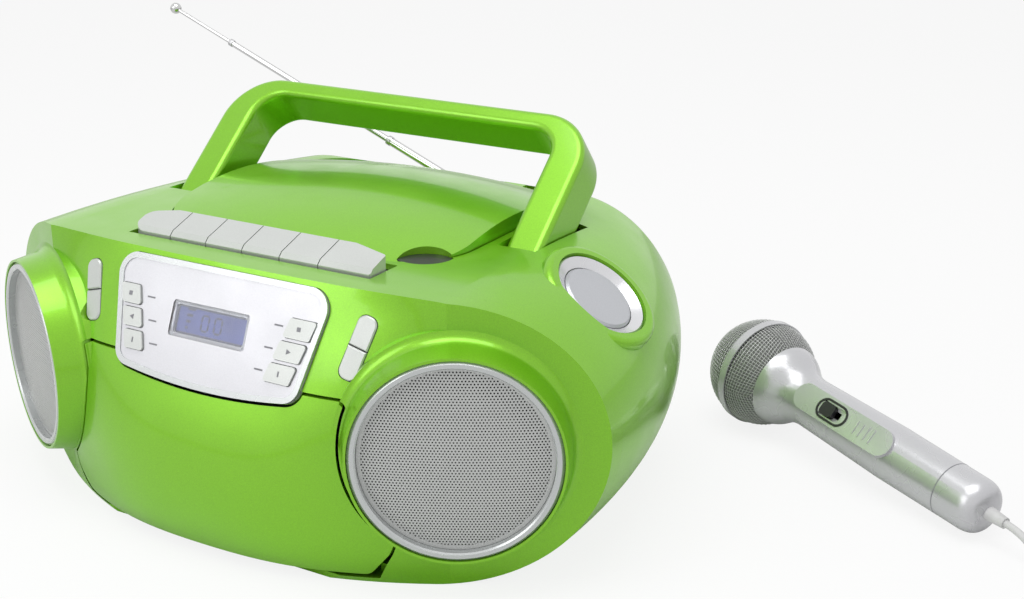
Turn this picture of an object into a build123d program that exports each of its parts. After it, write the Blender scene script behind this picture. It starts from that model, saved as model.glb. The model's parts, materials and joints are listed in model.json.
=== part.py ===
from build123d import *
import os
from math import asin, cos, degrees, radians, sin, sqrt, tan

# Tape and disc machine with a carrying handle, two toed-out speakers and a wired microphone.
# Millimetres. X runs to the right, Y to the back and Z up; the origin is the middle of the base.

# ---- cabinet ----
BODY_HEIGHT = 120.0
HALF_WIDTH = 159.0
WIDEST_Y = -31.0
REAR_TAPER = 221.0
REAR_Y = 112.0
REAR_EDGE_R = 14.0
WALL = 2.5
JOIN_Y = -57.0
FIT = 0.3
RUN = 0.06
REACH = 30.0

# ---- front: height, then how far forward it stands in the middle, part way out and at the shoulder ----
FRONT_LEVELS = (
    (0.0, 90.0, 86.5, 79.0, 71.5),
    (20.0, 97.0, 94.0, 85.5, 76.5),
    (40.0, 97.0, 94.0, 86.0, 76.5),
    (60.0, 92.0, 90.0, 84.5, 75.5),
    (78.0, 84.5, 83.4, 80.5, 73.5),
    (96.0, 76.8, 76.2, 74.0, 69.5),
    (120.0, 66.5, 66.0, 65.0, 63.5),
)
FRONT_STATIONS = (0.0, 40.0, 67.0, 85.0)

# ---- speakers ----
SPEAKER_X = 113.0
SPEAKER_Y = -72.5
SPEAKER_Z = BODY_HEIGHT / 2
TOE = 29.0
POD_STEP = 14.0
RING_R = 42.0
RING_BORE_R = 38.6
RING_THICK = 5.0
RING_BEVEL = 1.2
SEAT_WIDE = 1.6
POD_LIP = 1.2
POD_FLARE = 2.1
POD_BLEND = 4.0
GRILLE_DOME = 2.6
GRILLE_THICK = 1.2
DRIVER_R = 39.0
DRIVER_FLANGE = 2.0
CONE_R = 33.0
CONE_DEEP = 12.0
MAGNET_R = 22.0
MAGNET_LONG = 16.0
BASKET_DEEP = 22.0

# ---- control panel: a plane that leans back, through its top edge ----
PANEL_TOP_Y = -67.5
PANEL_TOP_Z = 118.0
PANEL_LEAN = 22.8
PANEL_TOP_HALF = 56.0
PANEL_FOOT_HALF = 47.0
PANEL_TALL = 50.5
PANEL_BOW = 4.0
PANEL_TOP_R = 9.0
PANEL_FOOT_R = 8.0
PANEL_POCKET = 2.2
PANEL_LEDGE = 1.6
PANEL_SEAT = 1.5
BEZEL_WIDE = 2.5
BEZEL_PROUD = 0.8
BEZEL_DEEP = 0.6
PANEL_PROUD = 0.4
LCD_WIDE = 40.0
LCD_TALL = 15.0
LCD_X = -2.3
LCD_DOWN = 23.6
LCD_EDGE = 1.5
LCD_THICK = 1.2
LCD_MODULE_THICK = 3.0
BUTTON_ROWS = ((-13.5, -21.6), (-23.2, -30.9), (-32.5, -40.2))
LEFT_BUTTONS_X = (-51.0, -41.0)
RIGHT_BUTTONS_X = (38.0, 51.0)
BUTTON_SLANT = 0.3
BUTTON_GAP = 0.25
BUTTON_PROUD = 1.0
BUTTON_FLANGE = 0.65
BUTTON_FLANGE_THICK = 0.8

# ---- side buttons ----
SIDE_BUTTON_X = 69.0
SIDE_BUTTON_Z = 98.5
SIDE_BUTTON_Y = -71.9
SIDE_BUTTON_TURN = 9.0
SIDE_BUTTON_LEAN = 20.5
SIDE_BUTTON_TILT = 16.0
SIDE_BUTTON_WIDE = 8.6
SIDE_BUTTON_LONG = 26.5
SIDE_BUTTON_PROUD = 1.5
SIDE_BUTTON_BEHIND = 1.6
SIDE_BUTTON_FLANGE = 0.9

# ---- cassette door and mechanism ----
DOOR_TOP_Z = 78.5
DOOR_TOP_HALF = 66.5
DOOR_SEAM_R = 47.5
DOOR_GAP = 1.2
DOOR_FOOT_Z = 4.6
DOOR_FOOT_X = 75.5
DOOR_EAR_X = 84.0
DOOR_EAR_Z = 15.0
DOOR_CORNER_R = 5.0
DOOR_PIVOT_Y = -79.0
DOOR_PIVOT_Z = 15.5
DOOR_PIN_R = 1.5
DOOR_LUG_R = 3.2
DOOR_LUG_X = 60.0
DOOR_LUG_WIDE = 5.0
DOOR_BRACKET_WIDE = 4.0
DOOR_BRACKET_FRONT_Y = -77.9
DOOR_BRACKET_BACK_Y = -74.5
DOOR_FLOOR_Y = -82.0
CASSETTE_HALF = 52.2
CARRIER_WALL = 1.5
CARRIER_Z = 22.0
CARRIER_TOP_Z = 66.0
CARRIER_BACK_Y = -74.0
SHELF_FROM = 16.0
CHASSIS_Y = -69.5
CHASSIS_THICK = 1.6
CHASSIS_HALF = 58.0
CHASSIS_TOP_Z = 98.0
CHASSIS_FOOT_HALF = 50.0
CHASSIS_FOOT_Y = -40.0
REEL_X = 21.25
REEL_Z = 44.0
REEL_R = 4.6
REEL_LONG = 10.0
REEL_SHAFT_R = 1.5
PULLEY_R = 8.0
PULLEY_THICK = 3.0
CAPSTAN_X = 8.0
CAPSTAN_Z = 24.0
CAPSTAN_R = 1.0
FLYWHEEL_R = 15.0
FLYWHEEL_THICK = 4.0
FLYWHEEL_GAP = 1.5
REEL_FIN = 0.9

# ---- tape keys ----
KEY_EDGES = (-65.0, -43.4, -23.9, -4.4, 15.2, 34.9, 61.0)
KEY_FRONT_Y = -51.4
KEY_BACK_Y = -34.2
KEY_FRONT_Z = 123.0
KEY_BACK_Z = 127.6
KEY_GAP = 0.5
KEY_SHAFT_Y = -32.4
KEY_SHAFT_Z = 114.0
KEY_SHAFT_R = 1.4
KEY_HUB_R = 2.9
KEY_SKIRT_Z = 109.5
KEY_CLEAR = 1.6
KEY_LUG_X = 66.6
KEY_LUG_WIDE = 2.0
KEY_LUG_GAP = 1.4
KEY_HUB_INSET = 0.5
KEY_END_TAPER = 6.0
KEY_END_R = 6.0
KEY_EDGE_R = 1.5

# ---- disc lid, deck and drive ----
DISC_Y = 34.0
WELL_R = 61.0
WELL_WALL = 1.8
WELL_FLOOR_Z = 105.5
WELL_FLOOR_THICK = 1.5
LID_FRONT_Y = -30.6
LID_BACK_Y = 99.0
LID_HALF = 77.0
LID_CORNER_R = 30.0
LID_TOP_Z = 133.0
LID_LONG_R = 186.0
LID_CROSS_R = 480.0
LID_THICK = 2.4
LID_GAP = 0.7
LID_BACK_GAP = 2.6
LID_SWING_GAP = 1.0
LID_PIVOT_Y = 96.4
LID_PIVOT_Z = 117.0
LID_PIN_R = 1.0
LID_KNUCKLE_R = 2.2
LID_KNUCKLE_X = 40.0
LID_KNUCKLE_WIDE = 12.0
LID_LUG_WIDE = 3.0
DECK_THICK = 2.8
DECK_MARGIN = 2.0
DECK_FRONT_Y = -29.0
DECK_GROOVE = 1.5
SPINDLE_HUB_R = 16.0
SPINDLE_NOSE_R = 7.4
SPINDLE_TALL = 6.5
SPINDLE_SHAFT_R = 1.5
MOTOR_R = 12.0
MOTOR_LONG = 9.0
SPINDLE_RIM = 1.8
PICKUP_FROM = 24.0
PICKUP_TRAVEL = 30.0
PICKUP_WIDE = 17.0
PICKUP_LONG = 11.0
PICKUP_LENS = 9.0
RAIL_BRACKET = 2.0
PICKUP_GAP = 1.0
RAIL_R = 1.5
RAIL_DROP = 5.0
RAIL_APART = 11.0

# ---- lid button and tuning knob ----
LID_BUTTON_X = 66.0
LID_BUTTON_Y = -19.9
LID_BUTTON_HALF = 11.75
LID_BUTTON_SAG = 7.75
LID_BUTTON_TURN = 31.0
LID_BUTTON_SUNK = 0.4
LID_BUTTON_FLANGE = 1.2
KNOB_X = 131.0
KNOB_Y = 11.0
KNOB_Z = 106.0
KNOB_TIP = 37.5
KNOB_HUMP_R = 27.0
KNOB_HUMP_UP = 2.0
KNOB_HUMP_DOWN = 12.0
KNOB_RECESS_R = 21.6
KNOB_RECESS_DEEP = 6.0
KNOB_RING_R = 16.4
KNOB_R = 16.0
KNOB_UP = 1.0
KNOB_SHAFT_R = 3.0
KNOB_SHAFT_LONG = 8.0
KNOB_DISH = 2.5
KNOB_HUMP_EDGE = 3.0

# ---- handle ----
HANDLE_X = 91.0
HANDLE_PIVOT_Y = 23.3
HANDLE_PIVOT_Z = 109.0
HANDLE_LEAN = 49.0
HANDLE_FOLD = 4.0
HANDLE_SLOT_END = 1.5
HANDLE_DEEP = 23.0
HANDLE_WIDE = 17.0
HANDLE_BAR = 9.0
HANDLE_REACH = 72.0
HANDLE_CORNER_R = 26.0
HANDLE_INNER_R = 14.0
HANDLE_EDGE_R = 3.0
HANDLE_PIN_R = 3.0
HANDLE_BRACKET = 2.4
HANDLE_SLOT_GAP = 0.8

# ---- antenna ----
AERIAL_X = 30.0
AERIAL_STAND = 5.5
AERIAL_Z = 96.0
AERIAL_RISE = 22.2
AERIAL_LOWER = 83.0
AERIAL_MIDDLE = 109.4
AERIAL_UPPER = 40.0
AERIAL_INSERT = 12.0
AERIAL_TIP_INSERT = 66.0
AERIAL_RADII = (2.2, 1.6, 1.0)
AERIAL_BALL_R = 3.0
AERIAL_EYE = 4.4
AERIAL_CHEEK = 1.5
AERIAL_SWIVEL_R = 5.5
AERIAL_PIN_R = 2.0
AERIAL_HINGE_R = 1.0

# ---- rear and underside ----
BATTERY_HALF = 62.0
BATTERY_FOOT_Z = 14.0
BATTERY_TALL = 44.0
BATTERY_DEEP = 50.0
BATTERY_WALL = 1.6
BATTERY_HINGE_R = 2.0
BATTERY_PIN_R = 1.0
BATTERY_GAP = 0.5
BATTERY_GRIP = 6.0
SOCKET_X = -88.0
SOCKET_Z = 64.0
SOCKET_WIDE = 30.0
SOCKET_TALL = 22.0
SOCKET_SUNK = 0.5
JACK_R = 3.2
JACK_DEEP = 12.0
INLET_WIDE = 12.0
INLET_TALL = 6.5
BOARD_Z = 66.0
BOARD_THICK = 1.6
BOARD_X = (-52.0, 60.0)
BOARD_Y = (-34.0, 44.0)
POST_R = 4.0
CAPACITOR_R = 4.0
CAPACITOR_TALL = 12.0
TRANSFORMER_X = -76.0
TRANSFORMER_Y = 8.0
CORE_WIDE = 34.0
CORE_THICK = 20.0
CORE_TALL = 36.0
SCREW_R = 3.0
SCREW_SHANK_R = 1.5
SCREW_HEAD = 1.2
SCREW_SUNK = 0.3
FRONT_SCREW_X = 80.0
FRONT_SCREW_Y = -65.0
TAB_HALF = 5.0
TAB_THICK = 3.5

# ---- microphone, lying beside the machine ----
MIC_HEAD = (150.5, 152.0)
MIC_TAIL = (280.0, 83.0)
MIC_BALL_R = 26.0
MIC_BAND_R = 26.6
MIC_BAND_WIDE = 4.0
MIC_MESH_THICK = 1.2
MIC_COLLAR_AT = 16.5
MIC_COLLAR_R = 20.1
MIC_NECK_AT = 37.0
MIC_NECK_R = 12.2
MIC_GRIP_AT = 90.0
MIC_GRIP_R = 13.1
MIC_TAIL_R = 12.5
MIC_TAIL_ROUND = 9.0
MIC_WALL = 2.2
MIC_PAD_TOP = 14.4
MIC_PAD_WIDE = 13.0
MIC_PAD = (36.0, 98.0)
MIC_SWITCH_AT = 58.0
MIC_SWITCH_LONG = 8.0
MIC_SWITCH_WIDE = 6.4
MIC_SWITCH_TALL = 2.6
MIC_SWITCH_TRAVEL = 5.0
MIC_SWITCH_SUNK = 1.8
MIC_STEM = 2.8
MIC_FACE_TURN = 39.0
RELIEF_R = 3.2
RELIEF_LONG = 9.0
RELIEF_WALL = 0.8

# ---- microphone cord ----
CORD_R = 1.7
CORD_ROUTE = (
    (295.5, 74.8, 11.8), (303.0, 72.0, 5.2), (309.5, 67.5, 1.9), (316.0, 61.5, 1.75),
)
COIL_X = 335.0
COIL_Y = 72.0
COIL_R = 20.0
COIL_TURNS_WIDE = 3
COIL_TURNS_HIGH = 4
COIL_LEAD = (16.0, 31.0, 40.0)
PLUG_R = 5.5
PLUG_LONG = 30.0
PLUG_TIP_R = 3.15
PLUG_TIP_LONG = 29.0
PLUG_NECK = 0.8


def speaker_plane(side, back=0.0):
    """Plane of a speaker face; its local Z points out of the face."""
    out = (side * sin(radians(TOE)), -cos(radians(TOE)), 0)
    place = Plane(
        origin=(side * SPEAKER_X, SPEAKER_Y, SPEAKER_Z),
        x_dir=(cos(radians(TOE)), side * sin(radians(TOE)), 0),
        z_dir=out,
    )
    return place.offset(-back)


def turned(profile):
    """Solid of revolution about Z from (radius, height) points, or from a sketch in XZ."""
    if not isinstance(profile, (Sketch, Face)):
        profile = make_face(Plane.XZ * Polyline(*profile, close=True))
    return revolve(profile, Axis.Z)


def rod(start, end, radius):
    """Round bar between two points."""
    reach = Vector(*end) - Vector(*start)
    return Plane(origin=start, z_dir=reach) * extrude(Circle(radius), reach.length)


def slab(x0, x1, y0, y1, z0, z1):
    """Box from its two corners."""
    return Pos((x0 + x1) / 2, (y0 + y1) / 2, (z0 + z1) / 2) * Box(x1 - x0, y1 - y0, z1 - z0)


def both_sides(piece):
    """A piece and its mirror image across the middle of the machine."""
    return Part() + [piece, mirror(piece, Plane.YZ)]


# ---------------------------------------------------------------- cabinet shape


def half_width(y):
    return HALF_WIDTH * sqrt(1 - (max(0.0, y - WIDEST_Y) / REAR_TAPER) ** 2)


def barrel(inset):
    """Long body with round ends, tapering to the back, with its rear edge rounded."""
    stations = (SPEAKER_Y - 30, WIDEST_Y, 0.0, 34.0, 68.0, 92.0, REAR_Y - inset)
    sections = [
        Plane.XZ.offset(-y)
        * Pos(0, BODY_HEIGHT / 2)
        * SlotOverall(2 * (half_width(y) - inset), BODY_HEIGHT - 2 * inset)
        for y in stations
    ]
    body = loft(sections)
    return fillet(body.faces().sort_by(Axis.Y)[-1].edges(), REAR_EDGE_R - inset)


def shoulder():
    """Where the speaker face planes meet the front, in plan."""
    plane = speaker_plane(1, POD_STEP)
    return plane.from_local_coords((-3.5, 0, 0))


def front_bound(inset):
    """Everything behind the front surface, lofted through the levels."""
    corner = shoulder()
    slope = tan(radians(TOE))
    reach = HALF_WIDTH + 15
    wide = corner.Y + (reach - corner.X) * slope + inset / cos(radians(TOE))
    edge = corner.Y + inset / cos(radians(TOE))
    sections = []
    for level, *depths in FRONT_LEVELS:
        right = [(x, inset - d) for x, d in zip(FRONT_STATIONS, depths)]
        right.append((corner.X, edge))
        left = [(-x, y) for x, y in reversed(right[1:])]
        curve = Spline(*left, *right)
        rest = Polyline((corner.X, edge), (reach, wide), (reach, REAR_Y + 20),
                        (-reach, REAR_Y + 20), (-reach, wide), (-corner.X, edge))
        sections.append(Plane.XY.offset(level) * make_face([curve, rest]))
    return loft(sections)


def pod_boss(side, inset):
    """Raised seat round a speaker: a short flared cylinder with a hollow curve at its foot."""
    top_r = RING_R + POD_LIP - inset
    foot_r = top_r + POD_FLARE
    lip = POD_STEP + inset
    with BuildSketch(Plane.XZ) as profile:
        with BuildLine():
            Polyline((0, -lip - 12), (0, -inset), (top_r, -inset), (foot_r, -lip + POD_BLEND))
            TangentArc((foot_r, -lip + POD_BLEND), (foot_r + POD_BLEND, -lip), tangent=(0.2, -1))
            Polyline((foot_r + POD_BLEND, -lip), (foot_r + POD_BLEND, -lip - 12), (0, -lip - 12))
        make_face()
    return speaker_plane(side) * turned(profile.sketch)


def envelope(inset):
    """Outer form of the machine, moved inwards by inset."""
    form = barrel(inset) & front_bound(inset)
    for side in (-1, 1):
        form += pod_boss(side, inset)
    return form


def front_zone():
    """Region of the front cabinet: ahead of the joint between the two halves."""
    near = speaker_plane(1, POD_STEP + 8)
    corner = near.origin
    slope = tan(radians(TOE))
    x_join = corner.X + (JOIN_Y - corner.Y) / slope
    reach = HALF_WIDTH + 20
    y_reach = corner.Y + (reach - corner.X) * slope
    plan = [(-reach, y_reach), (-x_join, JOIN_Y), (x_join, JOIN_Y), (reach, y_reach),
            (reach, -200), (-reach, -200)]
    zone = extrude(make_face(Polyline(*plan, close=True)), BODY_HEIGHT + 10)
    return Pos(0, 0, -5) * zone


# ---------------------------------------------------------------- openings in the cabinet


def panel_plane(lift=0.0):
    """Plane of the control panel: local X to the right, local Y up its slope."""
    lean = radians(PANEL_LEAN)
    place = Plane(
        origin=(0, PANEL_TOP_Y, PANEL_TOP_Z),
        x_dir=(1, 0, 0),
        z_dir=(0, -cos(lean), sin(lean)),
    )
    return place.offset(lift)


def panel_outline(inset=0.0):
    """Rounded panel, narrower at its bowed foot."""
    top, foot = PANEL_TOP_HALF, PANEL_FOOT_HALF
    right = [(top, -PANEL_TOP_R), (foot, PANEL_BOW - PANEL_TALL)]
    with BuildSketch() as outline:
        with BuildLine():
            Polyline((-foot, right[1][1]), (-top, 0), (top, 0), (foot, right[1][1]))
            ThreePointArc((foot, right[1][1]), (0, -PANEL_TALL), (-foot, right[1][1]))
        make_face()
        fillet(outline.vertices().group_by(Axis.Y)[-1], PANEL_TOP_R)
        fillet(outline.vertices().group_by(Axis.Y)[0], PANEL_FOOT_R)
        if inset:
            offset(amount=-inset)
    return outline.sketch


def prism(place, outline, low, high):
    """Outline extruded between two distances from its plane."""
    return place.offset(low) * extrude(outline, high - low)


def door_outline(grow=0.0):
    """Front view of the cassette door; grow is positive for the opening."""
    with BuildSketch(Plane.XZ) as outline:
        with BuildLine():
            Polyline(
                (-DOOR_TOP_HALF - grow, DOOR_TOP_Z + grow),
                (DOOR_TOP_HALF + grow, DOOR_TOP_Z + grow),
                (DOOR_EAR_X + 12, DOOR_EAR_Z + 30),
                (DOOR_EAR_X + grow, DOOR_EAR_Z),
                (DOOR_FOOT_X + grow, -1 if grow else DOOR_FOOT_Z),
                (-DOOR_FOOT_X - grow, -1 if grow else DOOR_FOOT_Z),
                (-DOOR_EAR_X - grow, DOOR_EAR_Z),
                (-DOOR_EAR_X - 12, DOOR_EAR_Z + 30),
                close=True,
            )
        make_face()
        fillet(outline.vertices().group_by(Axis.Z)[-1], DOOR_CORNER_R + grow)
    return outline.sketch


def door_prism(grow=0.0):
    """Solid that the door is cut from: its outline, less the round seats of the speakers."""
    block = Pos(0, -40, 0) * extrude(door_outline(grow), 80)
    for side in (-1, 1):
        seat = speaker_plane(side).offset(-60) * extrude(Circle(DOOR_SEAM_R - grow), 100)
        block -= seat
    shade = prism(panel_plane(), panel_outline(-1.3 + grow), -30, 20)
    return block - shade


def side_button_plane(side):
    """Plane of a pair of side buttons: local Z points out of them, local Y up along the pair."""
    turn, lean = radians(SIDE_BUTTON_TURN), radians(SIDE_BUTTON_LEAN)
    out = Vector(side * sin(turn) * cos(lean), -cos(turn) * cos(lean), sin(lean))
    level = Vector(cos(turn), side * sin(turn), 0)
    across = level.rotate(Axis((0, 0, 0), out), -side * SIDE_BUTTON_TILT)
    place = (side * SIDE_BUTTON_X, SIDE_BUTTON_Y, SIDE_BUTTON_Z)
    return Plane(origin=place, x_dir=across, z_dir=out)


def side_button_outline(half, grow=0.0):
    """Upper (1) or lower (-1) half of the long rounded pair, or the whole (0)."""
    whole = RectangleRounded(
        SIDE_BUTTON_WIDE + 2 * grow, SIDE_BUTTON_LONG + 2 * grow, SIDE_BUTTON_WIDE * 0.42
    )
    if half == 0:
        return whole
    middle = half * (SIDE_BUTTON_LONG + BUTTON_GAP) / 2 + half * BUTTON_GAP / 2
    return whole & Pos(0, middle + half * grow) * Rectangle(
        2 * SIDE_BUTTON_WIDE, SIDE_BUTTON_LONG + 2 * grow
    )


def button_outline(columns, row, grow=0.0):
    """One slanted panel button; columns are its left and right edges at the first row."""
    high, low = BUTTON_ROWS[row]
    drop = BUTTON_ROWS[0][0]
    slant = BUTTON_SLANT if columns[0] < 0 else -BUTTON_SLANT
    corners = []
    for edge, level in ((0, high), (1, high), (1, low), (0, low)):
        corners.append((columns[edge] + slant * (drop - level), level))
    flat = make_face(Polyline(*corners, close=True))
    flat = offset(flat, amount=grow - 1.2)
    return offset(flat, amount=1.2)


def key_opening():
    back = KEY_BACK_Y + 0.9
    return slab(KEY_EDGES[0] - 0.6, KEY_EDGES[-1] + 0.6, KEY_FRONT_Y - KEY_CLEAR, back,
                BODY_HEIGHT - 8, BODY_HEIGHT + 8)


def lid_outline(grow=0.0, back_grow=None):
    back_grow = grow if back_grow is None else back_grow
    front, back = LID_FRONT_Y - grow, LID_BACK_Y + back_grow
    shape = RectangleRounded(2 * (LID_HALF + grow), back - front, LID_CORNER_R + grow)
    return Pos(0, (front + back) / 2) * shape


def handle_slot(side):
    """Long slot that a leg of the handle swings in."""
    x0 = HANDLE_X - HANDLE_WIDE / 2 - HANDLE_SLOT_GAP
    x1 = HANDLE_X + HANDLE_WIDE / 2 + HANDLE_SLOT_GAP
    y0 = HANDLE_PIVOT_Y - HANDLE_DEEP / 2 - HANDLE_SLOT_GAP
    steepest = radians(HANDLE_LEAN + HANDLE_FOLD)
    climb = BODY_HEIGHT - HANDLE_PIVOT_Z + HANDLE_DEEP / 2 * sin(steepest)
    y1 = HANDLE_PIVOT_Y + HANDLE_DEEP / 2 * cos(steepest) + climb * tan(steepest)
    y1 += HANDLE_SLOT_END
    low, high = min(side * x0, side * x1), max(side * x0, side * x1)
    return slab(low, high, y0, y1, BODY_HEIGHT - 8, BODY_HEIGHT + 2)


def knob_plane(lift=0.0):
    tip = radians(KNOB_TIP)
    place = Plane(
        origin=(KNOB_X, KNOB_Y, KNOB_Z), x_dir=(0, 1, 0), z_dir=(sin(tip), 0, cos(tip))
    )
    return place.offset(lift)


# ---------------------------------------------------------------- cabinet pieces

outer = envelope(0.0)
inner = envelope(WALL)
skin = outer - inner
UNDER_TOP = BODY_HEIGHT - WALL
SEAT_BORE_R = RING_BORE_R - SEAT_WIDE


def screw_places():
    return [(side * FRONT_SCREW_X, FRONT_SCREW_Y) for side in (-1, 1)]


def front_cabinet():
    face = panel_plane()
    shell = skin & front_zone()
    shell -= prism(face, panel_outline(-FIT), -PANEL_POCKET, REACH)
    seat = prism(face, panel_outline(-FIT - PANEL_SEAT), -PANEL_POCKET - WALL, -PANEL_POCKET)
    shell += seat & outer & front_zone()
    shell -= prism(face, panel_outline(PANEL_LEDGE), -REACH, REACH)
    floor = slab(-HALF_WIDTH, HALF_WIDTH, DOOR_FLOOR_Y, 0, -1, WALL)
    shell -= door_prism(DOOR_GAP) - floor
    for side in (-1, 1):
        pod = speaker_plane(side)
        seat_r = RING_R + FIT / 2
        shell += pod.offset(-RING_THICK - WALL) * turned(
            [(SEAT_BORE_R, 0), (seat_r + 1, 0), (seat_r + 1, WALL), (SEAT_BORE_R, WALL)]
        )
        shell -= pod.offset(-REACH) * extrude(Circle(SEAT_BORE_R), 2 * REACH)
        shell -= pod.offset(-RING_THICK) * extrude(Circle(seat_r), REACH)
        hole = side_button_outline(0, BUTTON_GAP)
        shell -= prism(side_button_plane(side), hole, -8, 8)
        shell += door_bracket(side)
    for x, y in screw_places():
        shell -= rod((x, y, -1), (x, y, WALL + 1), SCREW_SHANK_R + FIT)
        shell -= rod((x, y, -1), (x, y, SCREW_SUNK + SCREW_HEAD), SCREW_R + FIT)
    return shell


def door_bracket(side):
    """Lug on the floor of the front cabinet that holds the inner end of a door pin."""
    gap = DOOR_LUG_WIDE / 2 + FIT
    near, far = DOOR_LUG_X - gap, DOOR_LUG_X - gap - DOOR_BRACKET_WIDE
    low, high = min(side * near, side * far), max(side * near, side * far)
    y, z = DOOR_PIVOT_Y, DOOR_PIVOT_Z
    arm = slab(low, high, DOOR_BRACKET_FRONT_Y, DOOR_BRACKET_BACK_Y, WALL / 2, z)
    arm += rod((low, y, z), (high, y, z), DOOR_LUG_R)
    return arm - rod((low - 1, y, z), (high + 1, y, z), DOOR_PIN_R)


def cassette_door():
    door = skin & door_prism()
    rail = CASSETTE_HALF + CARRIER_WALL
    block = door_prism() & outer
    for side in (-1, 1):
        low, high = sorted((side * CASSETTE_HALF, side * rail))
        door += slab(low, high, -REACH * 3, CARRIER_BACK_Y, CARRIER_Z, CARRIER_TOP_Z) & block
        low, high = sorted((side * SHELF_FROM, side * rail))
        shelf = slab(low, high, -REACH * 3, CARRIER_BACK_Y, CARRIER_Z - CARRIER_WALL, CARRIER_Z)
        door += shelf & block
        middle, half, y, z = side * DOOR_LUG_X, DOOR_LUG_WIDE / 2, DOOR_PIVOT_Y, DOOR_PIVOT_Z
        x0, x1 = middle - half, middle + half
        door += slab(x0, x1, -REACH * 3, y, z - DOOR_LUG_R, z + DOOR_LUG_R) & block
        door += rod((x0, y, z), (x1, y, z), DOOR_LUG_R)
        door -= rod((x0 - half, y, z), (x1 + half, y, z), DOOR_PIN_R + RUN)
    return door


def door_hinge_pins():
    inner_end = DOOR_LUG_X - DOOR_LUG_WIDE / 2 - FIT - DOOR_BRACKET_WIDE
    outer_end = DOOR_LUG_X + DOOR_LUG_WIDE / 2
    y, z = DOOR_PIVOT_Y, DOOR_PIVOT_Z
    return both_sides(rod((inner_end, y, z), (outer_end, y, z), DOOR_PIN_R))


def lens_outline(grow=0.0):
    """Pointed oval of the lid button, seen from above."""
    half, sag = LID_BUTTON_HALF + grow, LID_BUTTON_SAG + grow
    arcs = [
        ThreePointArc((-half, 0), (0, sag), (half, 0)),
        ThreePointArc((half, 0), (0, -sag), (-half, 0)),
    ]
    return Location((LID_BUTTON_X, LID_BUTTON_Y, 0), (0, 0, LID_BUTTON_TURN)) * make_face(arcs)


def standing(outline, low, high):
    """Outline in plan, extruded between two heights."""
    return Pos(0, 0, low) * extrude(outline, high - low)


def handle_bracket(x0, x1):
    """Plate under the top that carries one end of a handle pin."""
    y, z = HANDLE_PIVOT_Y, HANDLE_PIVOT_Z
    half = 2 * HANDLE_PIN_R
    plate = slab(x0, x1, y - half, y + half, z, UNDER_TOP + WALL / 2)
    plate += rod((x0, y, z), (x1, y, z), half)
    return plate - rod((x0 - 1, y, z), (x1 + 1, y, z), HANDLE_PIN_R)


def handle_bracket_edges():
    near = HANDLE_X - HANDLE_WIDE / 2 - HANDLE_SLOT_GAP
    far = HANDLE_X + HANDLE_WIDE / 2 + HANDLE_SLOT_GAP
    return (near - HANDLE_BRACKET, near), (far, far + HANDLE_BRACKET)


def knob_hump():
    low = -KNOB_HUMP_DOWN
    block = knob_plane(low) * extrude(Circle(KNOB_HUMP_R), KNOB_HUMP_DOWN + KNOB_HUMP_UP)
    rim = block.edges().filter_by(GeomType.CIRCLE).sort_by(Axis.X)[-1]
    return fillet(rim, KNOB_HUMP_EDGE)


def battery_box():
    x = BATTERY_HALF + BATTERY_GAP
    low = BATTERY_FOOT_Z - BATTERY_GAP
    high = BATTERY_FOOT_Z + BATTERY_TALL + BATTERY_GAP
    front = REAR_Y - WALL - BATTERY_DEEP
    wall = BATTERY_WALL
    box = slab(-x - wall, x + wall, front - wall, REAR_Y - WALL / 2, low - wall, high + wall)
    hinge_y, hinge_z = battery_hinge()
    reach = x + 2 * BATTERY_WALL
    box += rod((-reach, hinge_y, hinge_z), (reach, hinge_y, hinge_z), BATTERY_HINGE_R + 1) & outer
    cavity = slab(-x, x, front, REAR_Y + 1, low, high)
    return box, cavity


def battery_hinge():
    """Place of the hinge line of the battery door: Y and Z."""
    return REAR_Y - BATTERY_HINGE_R, BATTERY_FOOT_Z + BATTERY_HINGE_R


def battery_door():
    y, z = battery_hinge()
    top = BATTERY_FOOT_Z + BATTERY_TALL
    door = slab(-BATTERY_HALF, BATTERY_HALF, REAR_Y - WALL, REAR_Y, z, top)
    door += rod((-BATTERY_HALF, y, z), (BATTERY_HALF, y, z), BATTERY_HINGE_R)
    reach = BATTERY_HALF + BATTERY_GAP + BATTERY_WALL
    door += rod((-reach, y, z), (reach, y, z), BATTERY_PIN_R)
    grip = top - BATTERY_GRIP
    for step in range(3):
        line = grip - step * 2 * BATTERY_WALL
        door -= slab(-12, 12, REAR_Y - BATTERY_GAP, REAR_Y + 1, line - BATTERY_WALL, line)
    return door


def socket_hole(grow=0.0):
    return slab(SOCKET_X - SOCKET_WIDE / 2 - grow, SOCKET_X + SOCKET_WIDE / 2 + grow,
                REAR_Y - WALL - 1, REAR_Y + 1,
                SOCKET_Z - SOCKET_TALL / 2 - grow, SOCKET_Z + SOCKET_TALL / 2 + grow)


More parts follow.
